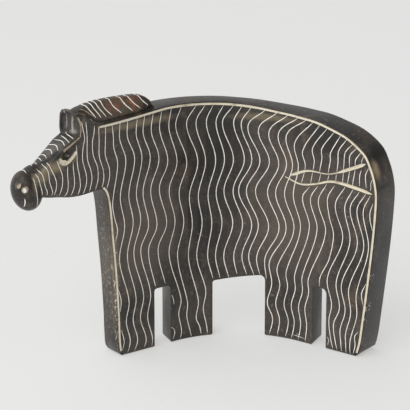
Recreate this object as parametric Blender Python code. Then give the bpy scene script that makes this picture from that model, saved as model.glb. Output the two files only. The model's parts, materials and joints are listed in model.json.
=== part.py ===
"""A zebra figurine carved in one piece from a slab of dark stone.

The slab is modelled flat first: X runs from the muzzle to the rump along the
carved face, Y goes back through the thickness and Z is up. It is then bowed in
plan, so that the two ends come forward and the four feet stand steady.
"""

from math import cos, pi, radians, sin, sqrt

import bmesh
import bpy
from mathutils import Matrix, Vector
from mathutils.geometry import interpolate_bezier

MM = 0.001

# The slab and its bow
SLAB_THICKNESS = 10.0 * MM
MIDDLE_THICKNESS = 8.2 * MM
RUMP_THICKNESS = 13.0 * MM
CHEST_SIDE = -35.0 * MM
RUMP_SIDE = 55.0 * MM
BOW_RADIUS = 43.0 * MM
BOW_HALF_ANGLE = radians(36.0)
BOW_STRIPS = 14
FRONT_EDGE_ROUNDING = 0.5 * MM
BACK_EDGE_ROUNDING = 1.1 * MM
FOOT_EDGE_ROUNDING = 0.6 * MM
JAW_EDGE_ROUNDING = 1.5 * MM
OUTLINE_STEP = 4.0 * MM

# The gaps between the legs: where each begins and ends along the carved face
FRONT_SLOT_LEFT = -37.9 * MM
FRONT_SLOT_WIDTH = 8.2 * MM
FRONT_SLOT_HEIGHT = 25.8 * MM
BELLY_GAP_LEFT = -10.1 * MM
BELLY_GAP_WIDTH = 22.1 * MM
BELLY_GAP_HEIGHT = 24.6 * MM
BELLY_GAP_RISE = 2.3 * MM
BACK_SLOT_LEFT = 34.5 * MM
BACK_SLOT_WIDTH = 6.8 * MM
BACK_SLOT_HEIGHT = 26.4 * MM
GAP_LEFT_CORNER = 1.2 * MM
GAP_RIGHT_CORNER = 2.2 * MM
SLOT_LEAN = 0.24

# The side view, from the front foot round to the back one
CHEST_LINE = (
    (-54.6, 0.0), (-56.0, 2.2), (-56.5, 7.2), (-56.8, 17.3), (-57.9, 36.7),
    (-59.4, 53.9), (-60.1, 63.0), (-60.9, 69.0), (-62.0, 72.6), (-63.4, 74.3),
)
JAW_LINE = (
    (-63.4, 74.3), (-69.0, 73.6), (-74.0, 73.3), (-79.0, 73.7), (-84.0, 74.7), (-89.0, 75.5), (-95.0, 77.5),
)
JAW_END = -64.0 * MM
JAW_TOP = 80.0 * MM
FACE_LINE = (
    (-97.0, 86.4), (-92.0, 89.0), (-88.0, 90.9), (-84.5, 93.1), (-81.5, 95.3), (-77.0, 97.7), (-75.2, 98.5),
)
EAR_LINE = ((-75.2, 98.4), (-76.6, 99.4), (-76.9, 103.0), (-76.7, 106.2), (-75.6, 107.8), (-73.6, 107.8))
NECK_LINE = ((-73.6, 107.8), (-70.0, 106.4), (-66.8, 104.2), (-64.2, 102.0))
BACK_LINE = (
    (-64.2, 101.7), (-57.0, 101.9), (-46.0, 102.6), (-36.0, 103.4), (-31.0, 103.7), (-24.0, 103.5),
    (-14.0, 103.0), (-4.0, 102.3), (6.0, 101.2), (16.0, 99.9), (26.0, 99.1), (35.0, 98.4), (43.7, 96.4),
    (50.0, 94.4), (55.2, 91.5), (59.7, 87.9), (62.5, 82.8), (64.2, 78.2), (65.3, 72.5), (65.3, 66.0),
    (64.2, 51.0), (62.2, 32.5), (59.7, 12.0), (58.8, 6.0), (57.6, 1.6), (55.9, 0.0),
)

# The mane, a crest with cut strands
MANE_LINE = (
    (-75.4, 107.2), (-74.5, 107.9), (-71.8, 108.9), (-66.0, 110.0), (-60.0, 110.4), (-53.3, 110.3),
    (-46.4, 109.9), (-42.0, 109.3), (-39.2, 108.1), (-36.9, 106.2), (-35.5, 103.9), (-34.9, 102.4),
)
MANE_THROAT = ((-68.0, 104.6), (-70.0, 106.0))
MANE_FOOT_HEIGHT = 101.2 * MM
MANE_TIP = -65.2 * MM
MANE_HALF_WIDTH = 3.9 * MM
MANE_FRONT_HALF_WIDTH = 5.3 * MM
MANE_CREST_HALF_WIDTH = 1.1 * MM
MANE_FULLNESS_FADE = 6.0 * MM
MANE_LEVELS = 7
MANE_COLUMN_STEP = 3.2 * MM
STRAND_STARTS = (-68.9, -66.6, -64.4, -61.7, -57.8, -52.6, -49.2, -43.8)
STRAND_RUN = 5.8 * MM
STRAND_LOW = 103.6 * MM
STRAND_SHARES = (-0.06, 0.15, 0.4, 0.7, 1.0)
STRAND_CUT = 0.45 * MM

# The head
MUZZLE_CENTRE = (-95.9 * MM, 79.1 * MM)
MUZZLE_LENGTH = 12.8 * MM
MUZZLE_WIDTH = 12.0 * MM
MUZZLE_HEIGHT = 17.4 * MM
MUZZLE_TILT = radians(16.0)
BRIDGE_WIDTH = 2.6 * MM
BRIDGE_DROP = 2.8 * MM
BRIDGE_STATIONS = ((-104.0, 83.0, 1.0), (-91.0, 89.5, 1.0), (-80.0, 96.1, 0.02))
EAR_SPACING = 5.4 * MM
EAR_HOLLOW_WIDTH = 3.7 * MM
EAR_HOLLOW_HEIGHT = 8.2 * MM
EAR_HOLLOW_DEPTH = 1.7 * MM
EAR_SLANT = radians(-16.0)
EAR_LAY_BACK = 0.28
EAR_FAR_FRONT = -77.0 * MM
EAR_NEAR_FOOT = (-73.1 * MM, 99.4 * MM)
EAR_NEAR_TIP = (-76.9 * MM, 112.0 * MM)
EAR_MIDDLE_HEIGHT = 103.3 * MM
EAR_NOTCH_LINE = ((-77.2, 98.8), (-76.0, 103.0), (-76.2, 108.2), (-72.5, 109.0))
EAR_NOTCH = 0.7 * MM
FOREHEAD_HEIGHT = 97.7 * MM
FOREHEAD_SLOPE = 0.53
EYE_PLACE = (-79.6 * MM, 92.0 * MM)
EYE_RADIUS = 1.3 * MM
EYE_DEPTH = 1.0 * MM
SOCKET_PLACE = (-78.7 * MM, 92.6 * MM)
SOCKET_SIZE = (4.4 * MM, 1.2 * MM, 2.2 * MM)
SOCKET_TILT = radians(30.0)
EYELID_LINE = ((-81.6, 92.2), (-83.0, 90.9), (-81.8, 89.5), (-80.0, 88.6), (-77.8, 90.0), (-75.0, 92.9))
EYELID_CUT = 0.8 * MM
BROW_LINE = ((-81.4, 93.8), (-77.6, 95.9), (-73.5, 98.3))
BROW_CUT = 0.4 * MM
NOSTRILS = (
    ("near", radians(56.0), radians(19.0), 1.35 * MM),
    ("tip", radians(30.0), radians(36.0), 1.0 * MM),
)

# The cut border and the tail
BORDER_INSET = 0.65 * MM
FAR_BORDER_INSET = 1.9 * MM
BORDER_CUT = 0.42 * MM
TAIL_UPPER_LINE = ((23.2, 72.7), (31.5, 76.1), (41.8, 76.7), (52.8, 81.2), (59.2, 84.3))
TAIL_LOWER_LINE = ((20.5, 71.6), (27.6, 69.7), (35.0, 71.1), (43.0, 73.7), (53.0, 73.4), (62.6, 72.1))
TAIL_CUT = 0.75 * MM
TAIL_END_SHARE = 0.3
EYELID_END_SHARE = 0.5
BROW_END_SHARE = 0.4
TAPER_START = 0.15

MID = SLAB_THICKNESS / 2
REACH = SLAB_THICKNESS
LOW = -REACH
SWEEP_STEP = 4.0 * MM
CORNER_PARTS = 2
DOUBLES = 1e-6
FLAT_ANGLE = radians(0.1)
RIM_ANGLE = radians(40.0)
SIDES = (1, -1)


def smooth(points, step=OUTLINE_STEP):
    """A smooth curve through points given in millimetres, read about every step."""
    knots = [Vector(point) * MM for point in points]
    run = []
    for i in range(len(knots) - 1):
        a, b = knots[i], knots[i + 1]
        span = (b - a).length
        before = knots[i - 1] if i else a
        after = knots[i + 2] if i + 2 < len(knots) else b
        leave = a + (b - before).normalized() * span / 3
        arrive = b - (after - a).normalized() * span / 3
        count = max(2, round(span / step) + 1)
        run += [p.xy for p in interpolate_bezier(a, leave, arrive, b, count)[:-1]]
    return run + [knots[-1]]


def inset(points, distance):
    """The same run moved sideways, towards the right hand of its direction."""
    moved = []
    for i, point in enumerate(points):
        along = points[min(i + 1, len(points) - 1)] - points[max(i - 1, 0)]
        along.normalize()
        moved.append(point + Vector((along.y, -along.x)) * distance)
    return moved


def new_object(name, mesh, collection):
    made = bpy.data.objects.new(name, mesh)
    collection.objects.link(made)
    return made


def mesh_of(made):
    """The object's mesh as its modifiers leave it."""
    bpy.context.view_layer.update()
    evaluated = made.evaluated_get(bpy.context.evaluated_depsgraph_get())
    mesh = bpy.data.meshes.new_from_object(evaluated)
    mesh.transform(made.matrix_world)
    return mesh


def as_cutter(made):
    made.hide_render = True
    made.display_type = "WIRE"
    return made


def solidified(curve, name):
    """A curve object replaced by a cutter with its mesh, its caps welded on and made one face each."""
    mesh = mesh_of(curve)
    bpy.data.objects.remove(curve)
    bm = bmesh.new()
    bm.from_mesh(mesh)
    bmesh.ops.remove_doubles(bm, verts=bm.verts, dist=DOUBLES)
    bmesh.ops.recalc_face_normals(bm, faces=bm.faces)
    bmesh.ops.dissolve_limit(bm, angle_limit=FLAT_ANGLE, verts=bm.verts, edges=bm.edges)
    bm.to_mesh(mesh)
    bm.free()
    return as_cutter(new_object(name, mesh, cutters))


def plate(name, outline, front, back):
    """A closed side view, filled and given its thickness from front to back."""
    data = bpy.data.curves.new(name, "CURVE")
    data.dimensions = "2D"
    data.fill_mode = "BOTH"
    data.extrude = (back - front) / 2
    spline = data.splines.new("POLY")
    spline.points.add(len(outline) - 1)
    for knot, place in zip(spline.points, outline):
        knot.co = (place[0], place[1], 0.0, 1.0)
    spline.use_cyclic_u = True
    curve = new_object(name, data, cutters)
    upright = Matrix.Rotation(pi / 2, 4, "X")
    curve.matrix_world = Matrix.Translation((0, (front + back) / 2, 0)) @ upright
    return solidified(curve, name)


def groove(name, places, radius, end_share=1.0):
    """A four-sided rod along the places, which leaves a groove with a V section."""
    data = bpy.data.curves.new(name, "CURVE")
    data.dimensions = "3D"
    data.bevel_depth = radius
    data.bevel_resolution = 0
    data.use_fill_caps = True
    spline = data.splines.new("POLY")
    spline.points.add(len(places) - 1)
    for i, (knot, place) in enumerate(zip(spline.points, places)):
        knot.co = (*place, 1.0)
        share = i / (len(places) - 1)
        swell = sin(pi * (TAPER_START + share * (1 - TAPER_START)))
        knot.radius = end_share + (1 - end_share) * swell
    return solidified(new_object(name, data, cutters), name)


def ellipsoid(name, centre, half_sizes, turn, rings=12):
    bm = bmesh.new()
    bmesh.ops.create_uvsphere(bm, u_segments=2 * rings, v_segments=rings, radius=1.0)
    place = Matrix.Translation(centre) @ turn @ Matrix.Diagonal((*half_sizes, 1.0))
    bmesh.ops.transform(bm, matrix=place, verts=bm.verts)
    mesh = bpy.data.meshes.new(name)
    bm.to_mesh(mesh)
    bm.free()
    return as_cutter(new_object(name, mesh, cutters))


def wedge(name, corners):
    """The block that spans the corners."""
    bm = bmesh.new()
    for corner in corners:
        bm.verts.new(corner)
    bmesh.ops.convex_hull(bm, input=bm.verts)
    bmesh.ops.recalc_face_normals(bm, faces=bm.faces)
    mesh = bpy.data.meshes.new(name)
    bm.to_mesh(mesh)
    bm.free()
    return as_cutter(new_object(name, mesh, cutters))


def combine(piece, operation, tools, solver="EXACT"):
    """Cuts the tools from the piece, or joins them to it, one after another."""
    for tool in tools:
        modifier = piece.modifiers.new(tool.name, "BOOLEAN")
        modifier.operation = operation
        modifier.solver = solver
        modifier.object = tool
    piece.data = mesh_of(piece)
    piece.modifiers.clear()


def far(y, side):
    """A depth on the near side (1), or the same depth measured from the far side (-1)."""
    return y if side == 1 else SLAB_THICKNESS - y


def arc(centre, radius, start, end):
    """Points along an arc, both ends included."""
    turns = [start + (end - start) * i / CORNER_PARTS for i in range(CORNER_PARTS + 1)]
    return [Vector((centre[0] + radius * cos(turn), centre[1] + radius * sin(turn))) for turn in turns]


def gap_outline(left, width, height, rise=0.0):
    """An opening between two legs, from below the feet to its rounded top corners."""
    right = left + width
    top = height + rise
    left_centre = (left + GAP_LEFT_CORNER, height - GAP_LEFT_CORNER)
    right_centre = (right - GAP_RIGHT_CORNER, top - GAP_RIGHT_CORNER)
    outline = [Vector((left, LOW))]
    outline += arc(left_centre, GAP_LEFT_CORNER, pi, pi / 2)
    outline += arc(right_centre, GAP_RIGHT_CORNER, pi / 2, 0.0)
    return outline + [Vector((right, LOW))]


def gap(name, left, width, height, lean, rise=0.0):
    """The cutter of one opening, which leans towards the middle of the bow."""
    cutter = plate(name, gap_outline(left, width, height, rise), -REACH, 2 * REACH)
    shear = Matrix.Identity(4)
    shear[0][1] = lean
    cutter.data.transform(shear)
    return cutter


def body_outline():
    """The whole side view, clockwise from the front foot."""
    outline = []
    for line in (CHEST_LINE, JAW_LINE, FACE_LINE, EAR_LINE, NECK_LINE, BACK_LINE):
        for point in smooth(line):
            if not outline or (point - outline[-1]).length > DOUBLES:
                outline.append(point)
    return outline


def round_edges(piece):
    """Softens the rims of the slab, more at the back, and most along the jaw."""
    bm = bmesh.new()
    bm.from_mesh(piece.data)

    def soften(chosen, offset):
        edges = [edge for edge in bm.edges if edge.calc_face_angle(0.0) > RIM_ANGLE and chosen(edge)]
        bmesh.ops.bevel(
            bm, geom=edges, offset=offset, segments=2, profile=0.5, affect="EDGES",
            clamp_overlap=True, material=-1,
        )

    def lies_at(edge, depth):
        return all(abs(vert.co.y - depth) < DOUBLES for vert in edge.verts)

    def on_jaw(edge):
        return all(vert.co.x < JAW_END and vert.co.z < JAW_TOP for vert in edge.verts)

    def at_foot(edge):
        return all(vert.co.z < DOUBLES for vert in edge.verts)

    def at_front(edge):
        return lies_at(edge, 0.0)

    def at_back(edge):
        return lies_at(edge, SLAB_THICKNESS)

    soften(lambda edge: (at_front(edge) or at_back(edge)) and on_jaw(edge), JAW_EDGE_ROUNDING)
    soften(at_back, BACK_EDGE_ROUNDING)
    soften(at_front, FRONT_EDGE_ROUNDING)
    soften(at_foot, FOOT_EDGE_ROUNDING)
    bmesh.ops.remove_doubles(bm, verts=bm.verts, dist=DOUBLES)
    bm.to_mesh(piece.data)
    bm.free()


def mane_top(x):
    """The height of the mane's crest above a place along the neck."""
    line = smooth(MANE_LINE)
    for start, end in zip(line, line[1:]):
        if start.x <= x <= end.x:
            return start.y + (end.y - start.y) * (x - start.x) / (end.x - start.x)
    return line[0].y if x < line[0].x else line[-1].y


def mane_half_width(x, z):
    """Half the mane's width: broad at its foot, narrow at the crest, fuller near the ears."""
    rise = (z - MANE_FOOT_HEIGHT) / (mane_top(x) - MANE_FOOT_HEIGHT)
    rise = min(1.0, max(0.0, rise))
    fuller = min(1.0, max(0.0, (MANE_TIP - x) / MANE_FULLNESS_FADE + 1))
    foot = MANE_HALF_WIDTH + fuller * (MANE_FRONT_HALF_WIDTH - MANE_HALF_WIDTH)
    return MANE_CREST_HALF_WIDTH + (foot - MANE_CREST_HALF_WIDTH) * sqrt(1 - rise**1.6)


def mane():
    """The crest: its side view as a plate, cut into a grid and drawn in towards the top."""
    outline = smooth(MANE_LINE)
    outline += [Vector((MANE_LINE[-1][0] * MM, MANE_FOOT_HEIGHT)), Vector((MANE_TIP, MANE_FOOT_HEIGHT))]
    outline += [Vector(point) * MM for point in MANE_THROAT]
    crest = plate("mane_crest", outline, MID - MANE_HALF_WIDTH, MID + MANE_HALF_WIDTH)
    peak = max(point.y for point in outline)
    cuts = []
    for level in range(1, MANE_LEVELS):
        share = 1 - (1 - level / MANE_LEVELS) ** 1.5
        cuts.append(((0, 0, MANE_FOOT_HEIGHT + share * (peak - MANE_FOOT_HEIGHT)), (0, 0, 1)))
    start, end = MANE_LINE[0][0] * MM, MANE_LINE[-1][0] * MM
    columns = round((end - start) / MANE_COLUMN_STEP)
    for column in range(1, columns):
        cuts.append(((start + (end - start) * column / columns, 0, 0), (1, 0, 0)))
    bm = bmesh.new()
    bm.from_mesh(crest.data)
    for place, direction in cuts:
        everything = bm.verts[:] + bm.edges[:] + bm.faces[:]
        bmesh.ops.bisect_plane(bm, geom=everything, dist=DOUBLES, plane_co=place, plane_no=direction)
    for vert in bm.verts:
        side = 1 if vert.co.y < MID else -1
        vert.co.y = MID - side * mane_half_width(vert.co.x, vert.co.z)
    bm.to_mesh(crest.data)
    bm.free()
    return crest


def strands():
    """The diagonal cuts between the mane's locks, on both of its sides."""
    cuts = []
    for side in SIDES:
        for number, start in enumerate(STRAND_STARTS):
            places = []
            high = mane_top(start * MM)
            for share in STRAND_SHARES:
                x = start * MM + STRAND_RUN * share
                z = high + (STRAND_LOW - high) * share
                y = MID - side * mane_half_width(x, z)
                places.append((x, y, z))
            name = f"strand_{'near' if side == 1 else 'far'}_{number}"
            cuts.append(groove(name, places, STRAND_CUT))
    return cuts


def bridge_cuts():
    """The slanted planes that narrow the bridge of the nose from the forehead to the muzzle."""
    half = MID - BRIDGE_WIDTH / 2
    cuts = []
    for side in SIDES:
        corners = []
        for x, top, share in BRIDGE_STATIONS:
            ridge = far(half * share, side)
            outside = far(-REACH / 2, side)
            x, top = x * MM, top * MM
            drop = BRIDGE_DROP * share
            corners += [(x, ridge, top), (x, far(0.0, side), top - drop)]
            corners += [(x, outside, top - drop), (x, outside, top + REACH / 2), (x, ridge, top + REACH / 2)]
        cuts.append(wedge(f"bridge_{'near' if side == 1 else 'far'}", corners))
    return cuts


def ear_front():
    """The slanted plane that the fronts of both ears lie in, down to the forehead."""
    corners = []
    for near, height in (EAR_NEAR_FOOT, EAR_NEAR_TIP):
        for y in (-REACH / 4, REACH * 5 / 4):
            x = near + (EAR_FAR_FRONT - near) * y / SLAB_THICKNESS
            low, lower = height, height
            if near == EAR_NEAR_FOOT[0]:
                low = FOREHEAD_HEIGHT + FOREHEAD_SLOPE * (x - EAR_FAR_FRONT)
                lower = low - FOREHEAD_SLOPE * REACH
            corners += [(x, y, low), (x - REACH, y, lower)]
    return wedge("ear_front", corners)


def ear_hollows():
    """The cupped fronts of the two ears, and the notch that parts them."""
    size = (EAR_HOLLOW_DEPTH, EAR_HOLLOW_WIDTH / 2, EAR_HOLLOW_HEIGHT / 2)
    cuts = [ear_front()]
    for side in SIDES:
        y = MID - side * EAR_SPACING / 2
        centre = (EAR_FAR_FRONT + (SLAB_THICKNESS - y) * EAR_LAY_BACK, y, EAR_MIDDLE_HEIGHT)
        turn = Matrix.Rotation(EAR_SLANT, 4, "Z")
        cuts.append(ellipsoid(f"ear_{'near' if side == 1 else 'far'}", centre, size, turn, 8))
    places = [(x * MM, MID, z * MM) for x, z in EAR_NOTCH_LINE]
    cuts.append(groove("ear_notch", places, EAR_NOTCH))
    return cuts


def on_face(points, side, step=SWEEP_STEP):
    """Places on the near or the far face along a smooth run."""
    return [(p.x, far(0.0, side), p.y) for p in smooth(points, step)]


def eye_cuts():
    cuts = []
    for side in SIDES:
        word = "near" if side == 1 else "far"
        centre = (SOCKET_PLACE[0], far(0.0, side), SOCKET_PLACE[1])
        turn = Matrix.Rotation(-SOCKET_TILT, 4, "Y")
        cuts.append(ellipsoid(f"socket_{word}", centre, SOCKET_SIZE, turn, 8))
        cuts.append(groove(f"eyelid_{word}", on_face(EYELID_LINE, side), EYELID_CUT, EYELID_END_SHARE))
        cuts.append(groove(f"brow_{word}", on_face(BROW_LINE, side), BROW_CUT, BROW_END_SHARE))
    return cuts


def eyeballs():
    balls = []
    for side in SIDES:
        centre = (EYE_PLACE[0], far(EYE_DEPTH, side), EYE_PLACE[1])
        size = (EYE_RADIUS, EYE_RADIUS, EYE_RADIUS)
        balls.append(ellipsoid(f"eyeball_{'near' if side == 1 else 'far'}", centre, size, Matrix(), 6))
    return balls


def muzzle():
    centre = (MUZZLE_CENTRE[0], MID, MUZZLE_CENTRE[1])
    size = (MUZZLE_LENGTH / 2, MUZZLE_WIDTH / 2, MUZZLE_HEIGHT / 2)
    return ellipsoid("muzzle", centre, size, Matrix.Rotation(-MUZZLE_TILT, 4, "Y"), 14)


def nostrils():
    """Two round gouges on the near half of the muzzle's tip."""
    cuts = []
    tilt = Matrix.Rotation(-MUZZLE_TILT, 3, "Y")
    middle = Vector((MUZZLE_CENTRE[0], MID, MUZZLE_CENTRE[1]))
    for name, turn, rise, radius in NOSTRILS:
        place = Vector((-cos(rise) * cos(turn), -cos(rise) * sin(turn), sin(rise)))
        place *= Vector((MUZZLE_LENGTH, MUZZLE_WIDTH, MUZZLE_HEIGHT)) / 2
        centre = middle + tilt @ place
        cuts.append(ellipsoid(f"nostril_{name}", centre, (radius, radius, radius), Matrix(), 6))
    return cuts


def face_cuts():
    """The border round the body and the two strokes of the tail, on both faces."""
    cuts = []
    for side in SIDES:
        word = "near" if side == 1 else "far"
        y = far(0.0, side)
        distance = BORDER_INSET if side == 1 else FAR_BORDER_INSET
        for name, line in (("chest", CHEST_LINE[1:]), ("back", BACK_LINE[:-1])):
            places = [(point.x, y, point.y) for point in inset(smooth(line), distance)]
            cuts.append(groove(f"border_{name}_{word}", places, BORDER_CUT))
        for name, line in (("upper", TAIL_UPPER_LINE), ("lower", TAIL_LOWER_LINE)):
            cuts.append(groove(f"tail_{name}_{word}", on_face(line, side), TAIL_CUT, TAIL_END_SHARE))
    return cuts


def thickness_at(x):
    """The slab is thinnest in the middle of the bow, and grows to the chest and more to the rump."""
    side, thickness = (RUMP_SIDE, RUMP_THICKNESS) if x > 0 else (CHEST_SIDE, SLAB_THICKNESS)
    return MIDDLE_THICKNESS + (thickness - MIDDLE_THICKNESS) * min(1.0, x / side)


def bowed(place):
    """A point of the flat slab after bowing: an arc in the middle, straight beyond it."""
    turn = min(BOW_HALF_ANGLE, max(-BOW_HALF_ANGLE, place.x / BOW_RADIUS))
    beyond = place.x - turn * BOW_RADIUS
    depth = place.y * thickness_at(place.x) / SLAB_THICKNESS
    x = (BOW_RADIUS + depth) * sin(turn) + beyond * cos(turn)
    y = (BOW_RADIUS + depth) * cos(turn) - BOW_RADIUS - beyond * sin(turn)
    return Vector((x, y, place.z))


def divide(piece):
    """Cuts the flat slab into upright strips, so that it can bend."""
    reach = BOW_RADIUS * BOW_HALF_ANGLE
    lines = [reach * (2 * i / BOW_STRIPS - 1) for i in range(BOW_STRIPS + 1)]
    lines += [CHEST_SIDE, RUMP_SIDE]
    bm = bmesh.new()
    bm.from_mesh(piece.data)
    for x in lines:
        everything = bm.verts[:] + bm.edges[:] + bm.faces[:]
        bmesh.ops.bisect_plane(bm, geom=everything, dist=DOUBLES, plane_co=(x, 0, 0), plane_no=(1, 0, 0))
    bm.to_mesh(piece.data)
    bm.free()


def bow(pieces):
    for piece in pieces:
        for vert in piece.data.vertices:
            vert.co = bowed(vert.co)
    return pieces


def stand(piece):
    """Moves the figurine so that the middle of its footprint is the origin."""
    places = [vert.co for vert in piece.data.vertices]
    low = [min(place[axis] for place in places) for axis in range(3)]
    high = [max(place[axis] for place in places) for axis in range(3)]
    middle = ((low[0] + high[0]) / 2, (low[1] + high[1]) / 2, low[2])
    piece.data.transform(Matrix.Translation(-Vector(middle)))


def stone():
    material = bpy.data.materials.new("dark_stone")
    material.use_nodes = True
    shader = material.node_tree.nodes["Principled BSDF"]
    shader.inputs["Base Color"].default_value = (0.035, 0.032, 0.030, 1.0)
    shader.inputs["Roughness"].default_value = 0.38
    shader.inputs["Metallic"].default_value = 0.0
    return material


for old in list(bpy.data.objects):
    bpy.data.objects.remove(old)
figurine = bpy.data.collections.new("zebra_figurine")
cutters = bpy.data.collections.new("cutters")
bpy.context.scene.collection.children.link(figurine)
bpy.context.scene.collection.children.link(cutters)

blank = plate("blank", body_outline(), 0.0, SLAB_THICKNESS)
zebra = new_object("zebra", blank.data.copy(), figurine)
combine(zebra, "DIFFERENCE", [
    gap("front_slot", FRONT_SLOT_LEFT, FRONT_SLOT_WIDTH, FRONT_SLOT_HEIGHT, SLOT_LEAN),
    gap("belly_gap", BELLY_GAP_LEFT, BELLY_GAP_WIDTH, BELLY_GAP_HEIGHT, 0.0, BELLY_GAP_RISE),
    gap("back_slot", BACK_SLOT_LEFT, BACK_SLOT_WIDTH, BACK_SLOT_HEIGHT, -SLOT_LEAN),
])
round_edges(zebra)
divide(zebra)
bow([zebra])
# Flat faces meet round forms from here on, where the exact solver leaves open edges
combine(zebra, "DIFFERENCE", bow(bridge_cuts()), "MANIFOLD")
combine(zebra, "UNION", bow([muzzle(), mane()]), "MANIFOLD")
carving = ear_hollows() + eye_cuts() + nostrils() + strands() + face_cuts()
combine(zebra, "DIFFERENCE", bow(carving), "MANIFOLD")
combine(zebra, "UNION", bow(eyeballs()), "MANIFOLD")
stand(zebra)
zebra.data.materials.clear()
zebra.data.materials.append(stone())
zebra.data.shade_smooth()
zebra.data.set_sharp_from_angle(angle=radians(30.0))
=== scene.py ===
# %% [markdown]
# # A zebra carved from one slab of dark stone
#
# The real figurine is sawn from a slab of soapstone, rounded with a file, bowed so that it stands by
# itself, waxed, and then scribed: every pale line is a scratch through the wax into bright stone.
# So there is one piece here and one mesh, and each line is a real groove in it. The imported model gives
# the box that the piece has to fill, and this script gives the piece its fine edges, lines and finish.

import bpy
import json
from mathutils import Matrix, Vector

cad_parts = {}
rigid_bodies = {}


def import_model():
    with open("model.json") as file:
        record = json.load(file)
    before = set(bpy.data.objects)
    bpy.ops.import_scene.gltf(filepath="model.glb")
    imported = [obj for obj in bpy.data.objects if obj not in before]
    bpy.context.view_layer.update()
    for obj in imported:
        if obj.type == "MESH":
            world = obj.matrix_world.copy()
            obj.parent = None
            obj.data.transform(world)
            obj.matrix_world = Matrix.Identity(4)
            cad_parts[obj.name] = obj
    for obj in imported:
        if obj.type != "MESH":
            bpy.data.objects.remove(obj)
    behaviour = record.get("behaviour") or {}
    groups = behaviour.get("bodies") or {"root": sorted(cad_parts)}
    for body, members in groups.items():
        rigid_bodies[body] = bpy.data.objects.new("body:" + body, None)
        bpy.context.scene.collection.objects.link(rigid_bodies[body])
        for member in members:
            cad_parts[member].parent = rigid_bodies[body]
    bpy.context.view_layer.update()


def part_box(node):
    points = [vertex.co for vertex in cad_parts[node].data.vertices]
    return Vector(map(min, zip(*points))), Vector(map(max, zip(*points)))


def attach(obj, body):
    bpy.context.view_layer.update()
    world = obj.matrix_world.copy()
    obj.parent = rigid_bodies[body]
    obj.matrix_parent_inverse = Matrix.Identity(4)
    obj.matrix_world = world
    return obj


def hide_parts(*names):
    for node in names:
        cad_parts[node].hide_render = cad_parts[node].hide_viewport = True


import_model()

# %% Blender's modules
import json
import random
from math import cos, inf, pi, radians, sin, sqrt

import bmesh
import bpy
from mathutils import Matrix, Vector
from mathutils.bvhtree import BVHTree
from mathutils.geometry import interpolate_bezier

MM = 0.001

# %% [markdown]
# ## Two frames
#
# A carver draws on a flat slab. The shape is made the same way: first flat, with X along the carved
# face from the muzzle to the rump, Y into the slab from the near face, and Z up. At the end one
# function bows the slab. Everything that is drawn on the face can then be given in flat millimetres.

# %% The slab and its bow
SLAB = 10.0 * MM
MIDDLE_THICKNESS = 8.2 * MM
RUMP_THICKNESS = 13.0 * MM
CHEST_SIDE = -35.0 * MM
RUMP_SIDE = 55.0 * MM
BOW_RADIUS = 43.0 * MM
BOW_HALF_ANGLE = radians(36.0)
BOW_REACH = BOW_RADIUS * BOW_HALF_ANGLE
BOW_STRIPS = 48
MID = SLAB / 2
TINY = 1e-6


def thickness_at(x):
    side, thickness = (RUMP_SIDE, RUMP_THICKNESS) if x > 0 else (CHEST_SIDE, SLAB)
    return MIDDLE_THICKNESS + (thickness - MIDDLE_THICKNESS) * min(1.0, x / side)


def bowed(place):
    """A point of the flat slab after bowing: an arc in the middle, straight beyond it."""
    turn = min(BOW_HALF_ANGLE, max(-BOW_HALF_ANGLE, place.x / BOW_RADIUS))
    beyond = place.x - turn * BOW_RADIUS
    depth = place.y * thickness_at(place.x) / SLAB
    x = (BOW_RADIUS + depth) * sin(turn) + beyond * cos(turn)
    y = (BOW_RADIUS + depth) * cos(turn) - BOW_RADIUS - beyond * sin(turn)
    return Vector((x, y, place.z))


print("the two ends come forward by", round(-bowed(Vector((RUMP_SIDE, 0, 0))).y / MM, 1), "mm")

# %% [markdown]
# ## Curves through a few points
#
# The side view is drawn as a few points on each stretch. A spline through them gives the
# carver's smooth line. Straight lines between many points would do too, but they would be hard to
# read and to change.

# %% A smooth run through points
OUTLINE_STEP = 2.0 * MM


def smooth(points, step=OUTLINE_STEP):
    """A smooth curve through points given in millimetres, read about every step.

    It is a run of Bezier spans. A handle is a third of its span, in line with the two neighbours.
    """
    knots = [Vector(point) * MM for point in points]
    run = []
    for i in range(len(knots) - 1):
        a, b = knots[i], knots[i + 1]
        span = (b - a).length
        before = knots[i - 1] if i else a
        after = knots[i + 2] if i + 2 < len(knots) else b
        leave = a + (b - before).normalized() * span / 3
        arrive = b - (after - a).normalized() * span / 3
        count = max(2, round(span / step) + 1)
        run += [p[:len(knots[0])] for p in interpolate_bezier(a, leave, arrive, b, count)[:-1]]
    return [Vector(p) for p in run] + [knots[-1]]


def height_on(points, x):
    """The height of a line of points above a place, in millimetres."""
    for (x0, z0), (x1, z1) in zip(points, points[1:]):
        if x0 <= x <= x1:
            return z0 + (z1 - z0) * (x - x0) / (x1 - x0)
    return points[0][1] if x < points[0][0] else points[-1][1]


def inset(points, distance):
    """The same run moved sideways, towards the right hand of its direction."""
    moved = []
    for i, point in enumerate(points):
        along = points[min(i + 1, len(points) - 1)] - points[max(i - 1, 0)]
        along.normalize()
        moved.append(point + Vector((along.y, -along.x)) * distance)
    return moved


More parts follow.
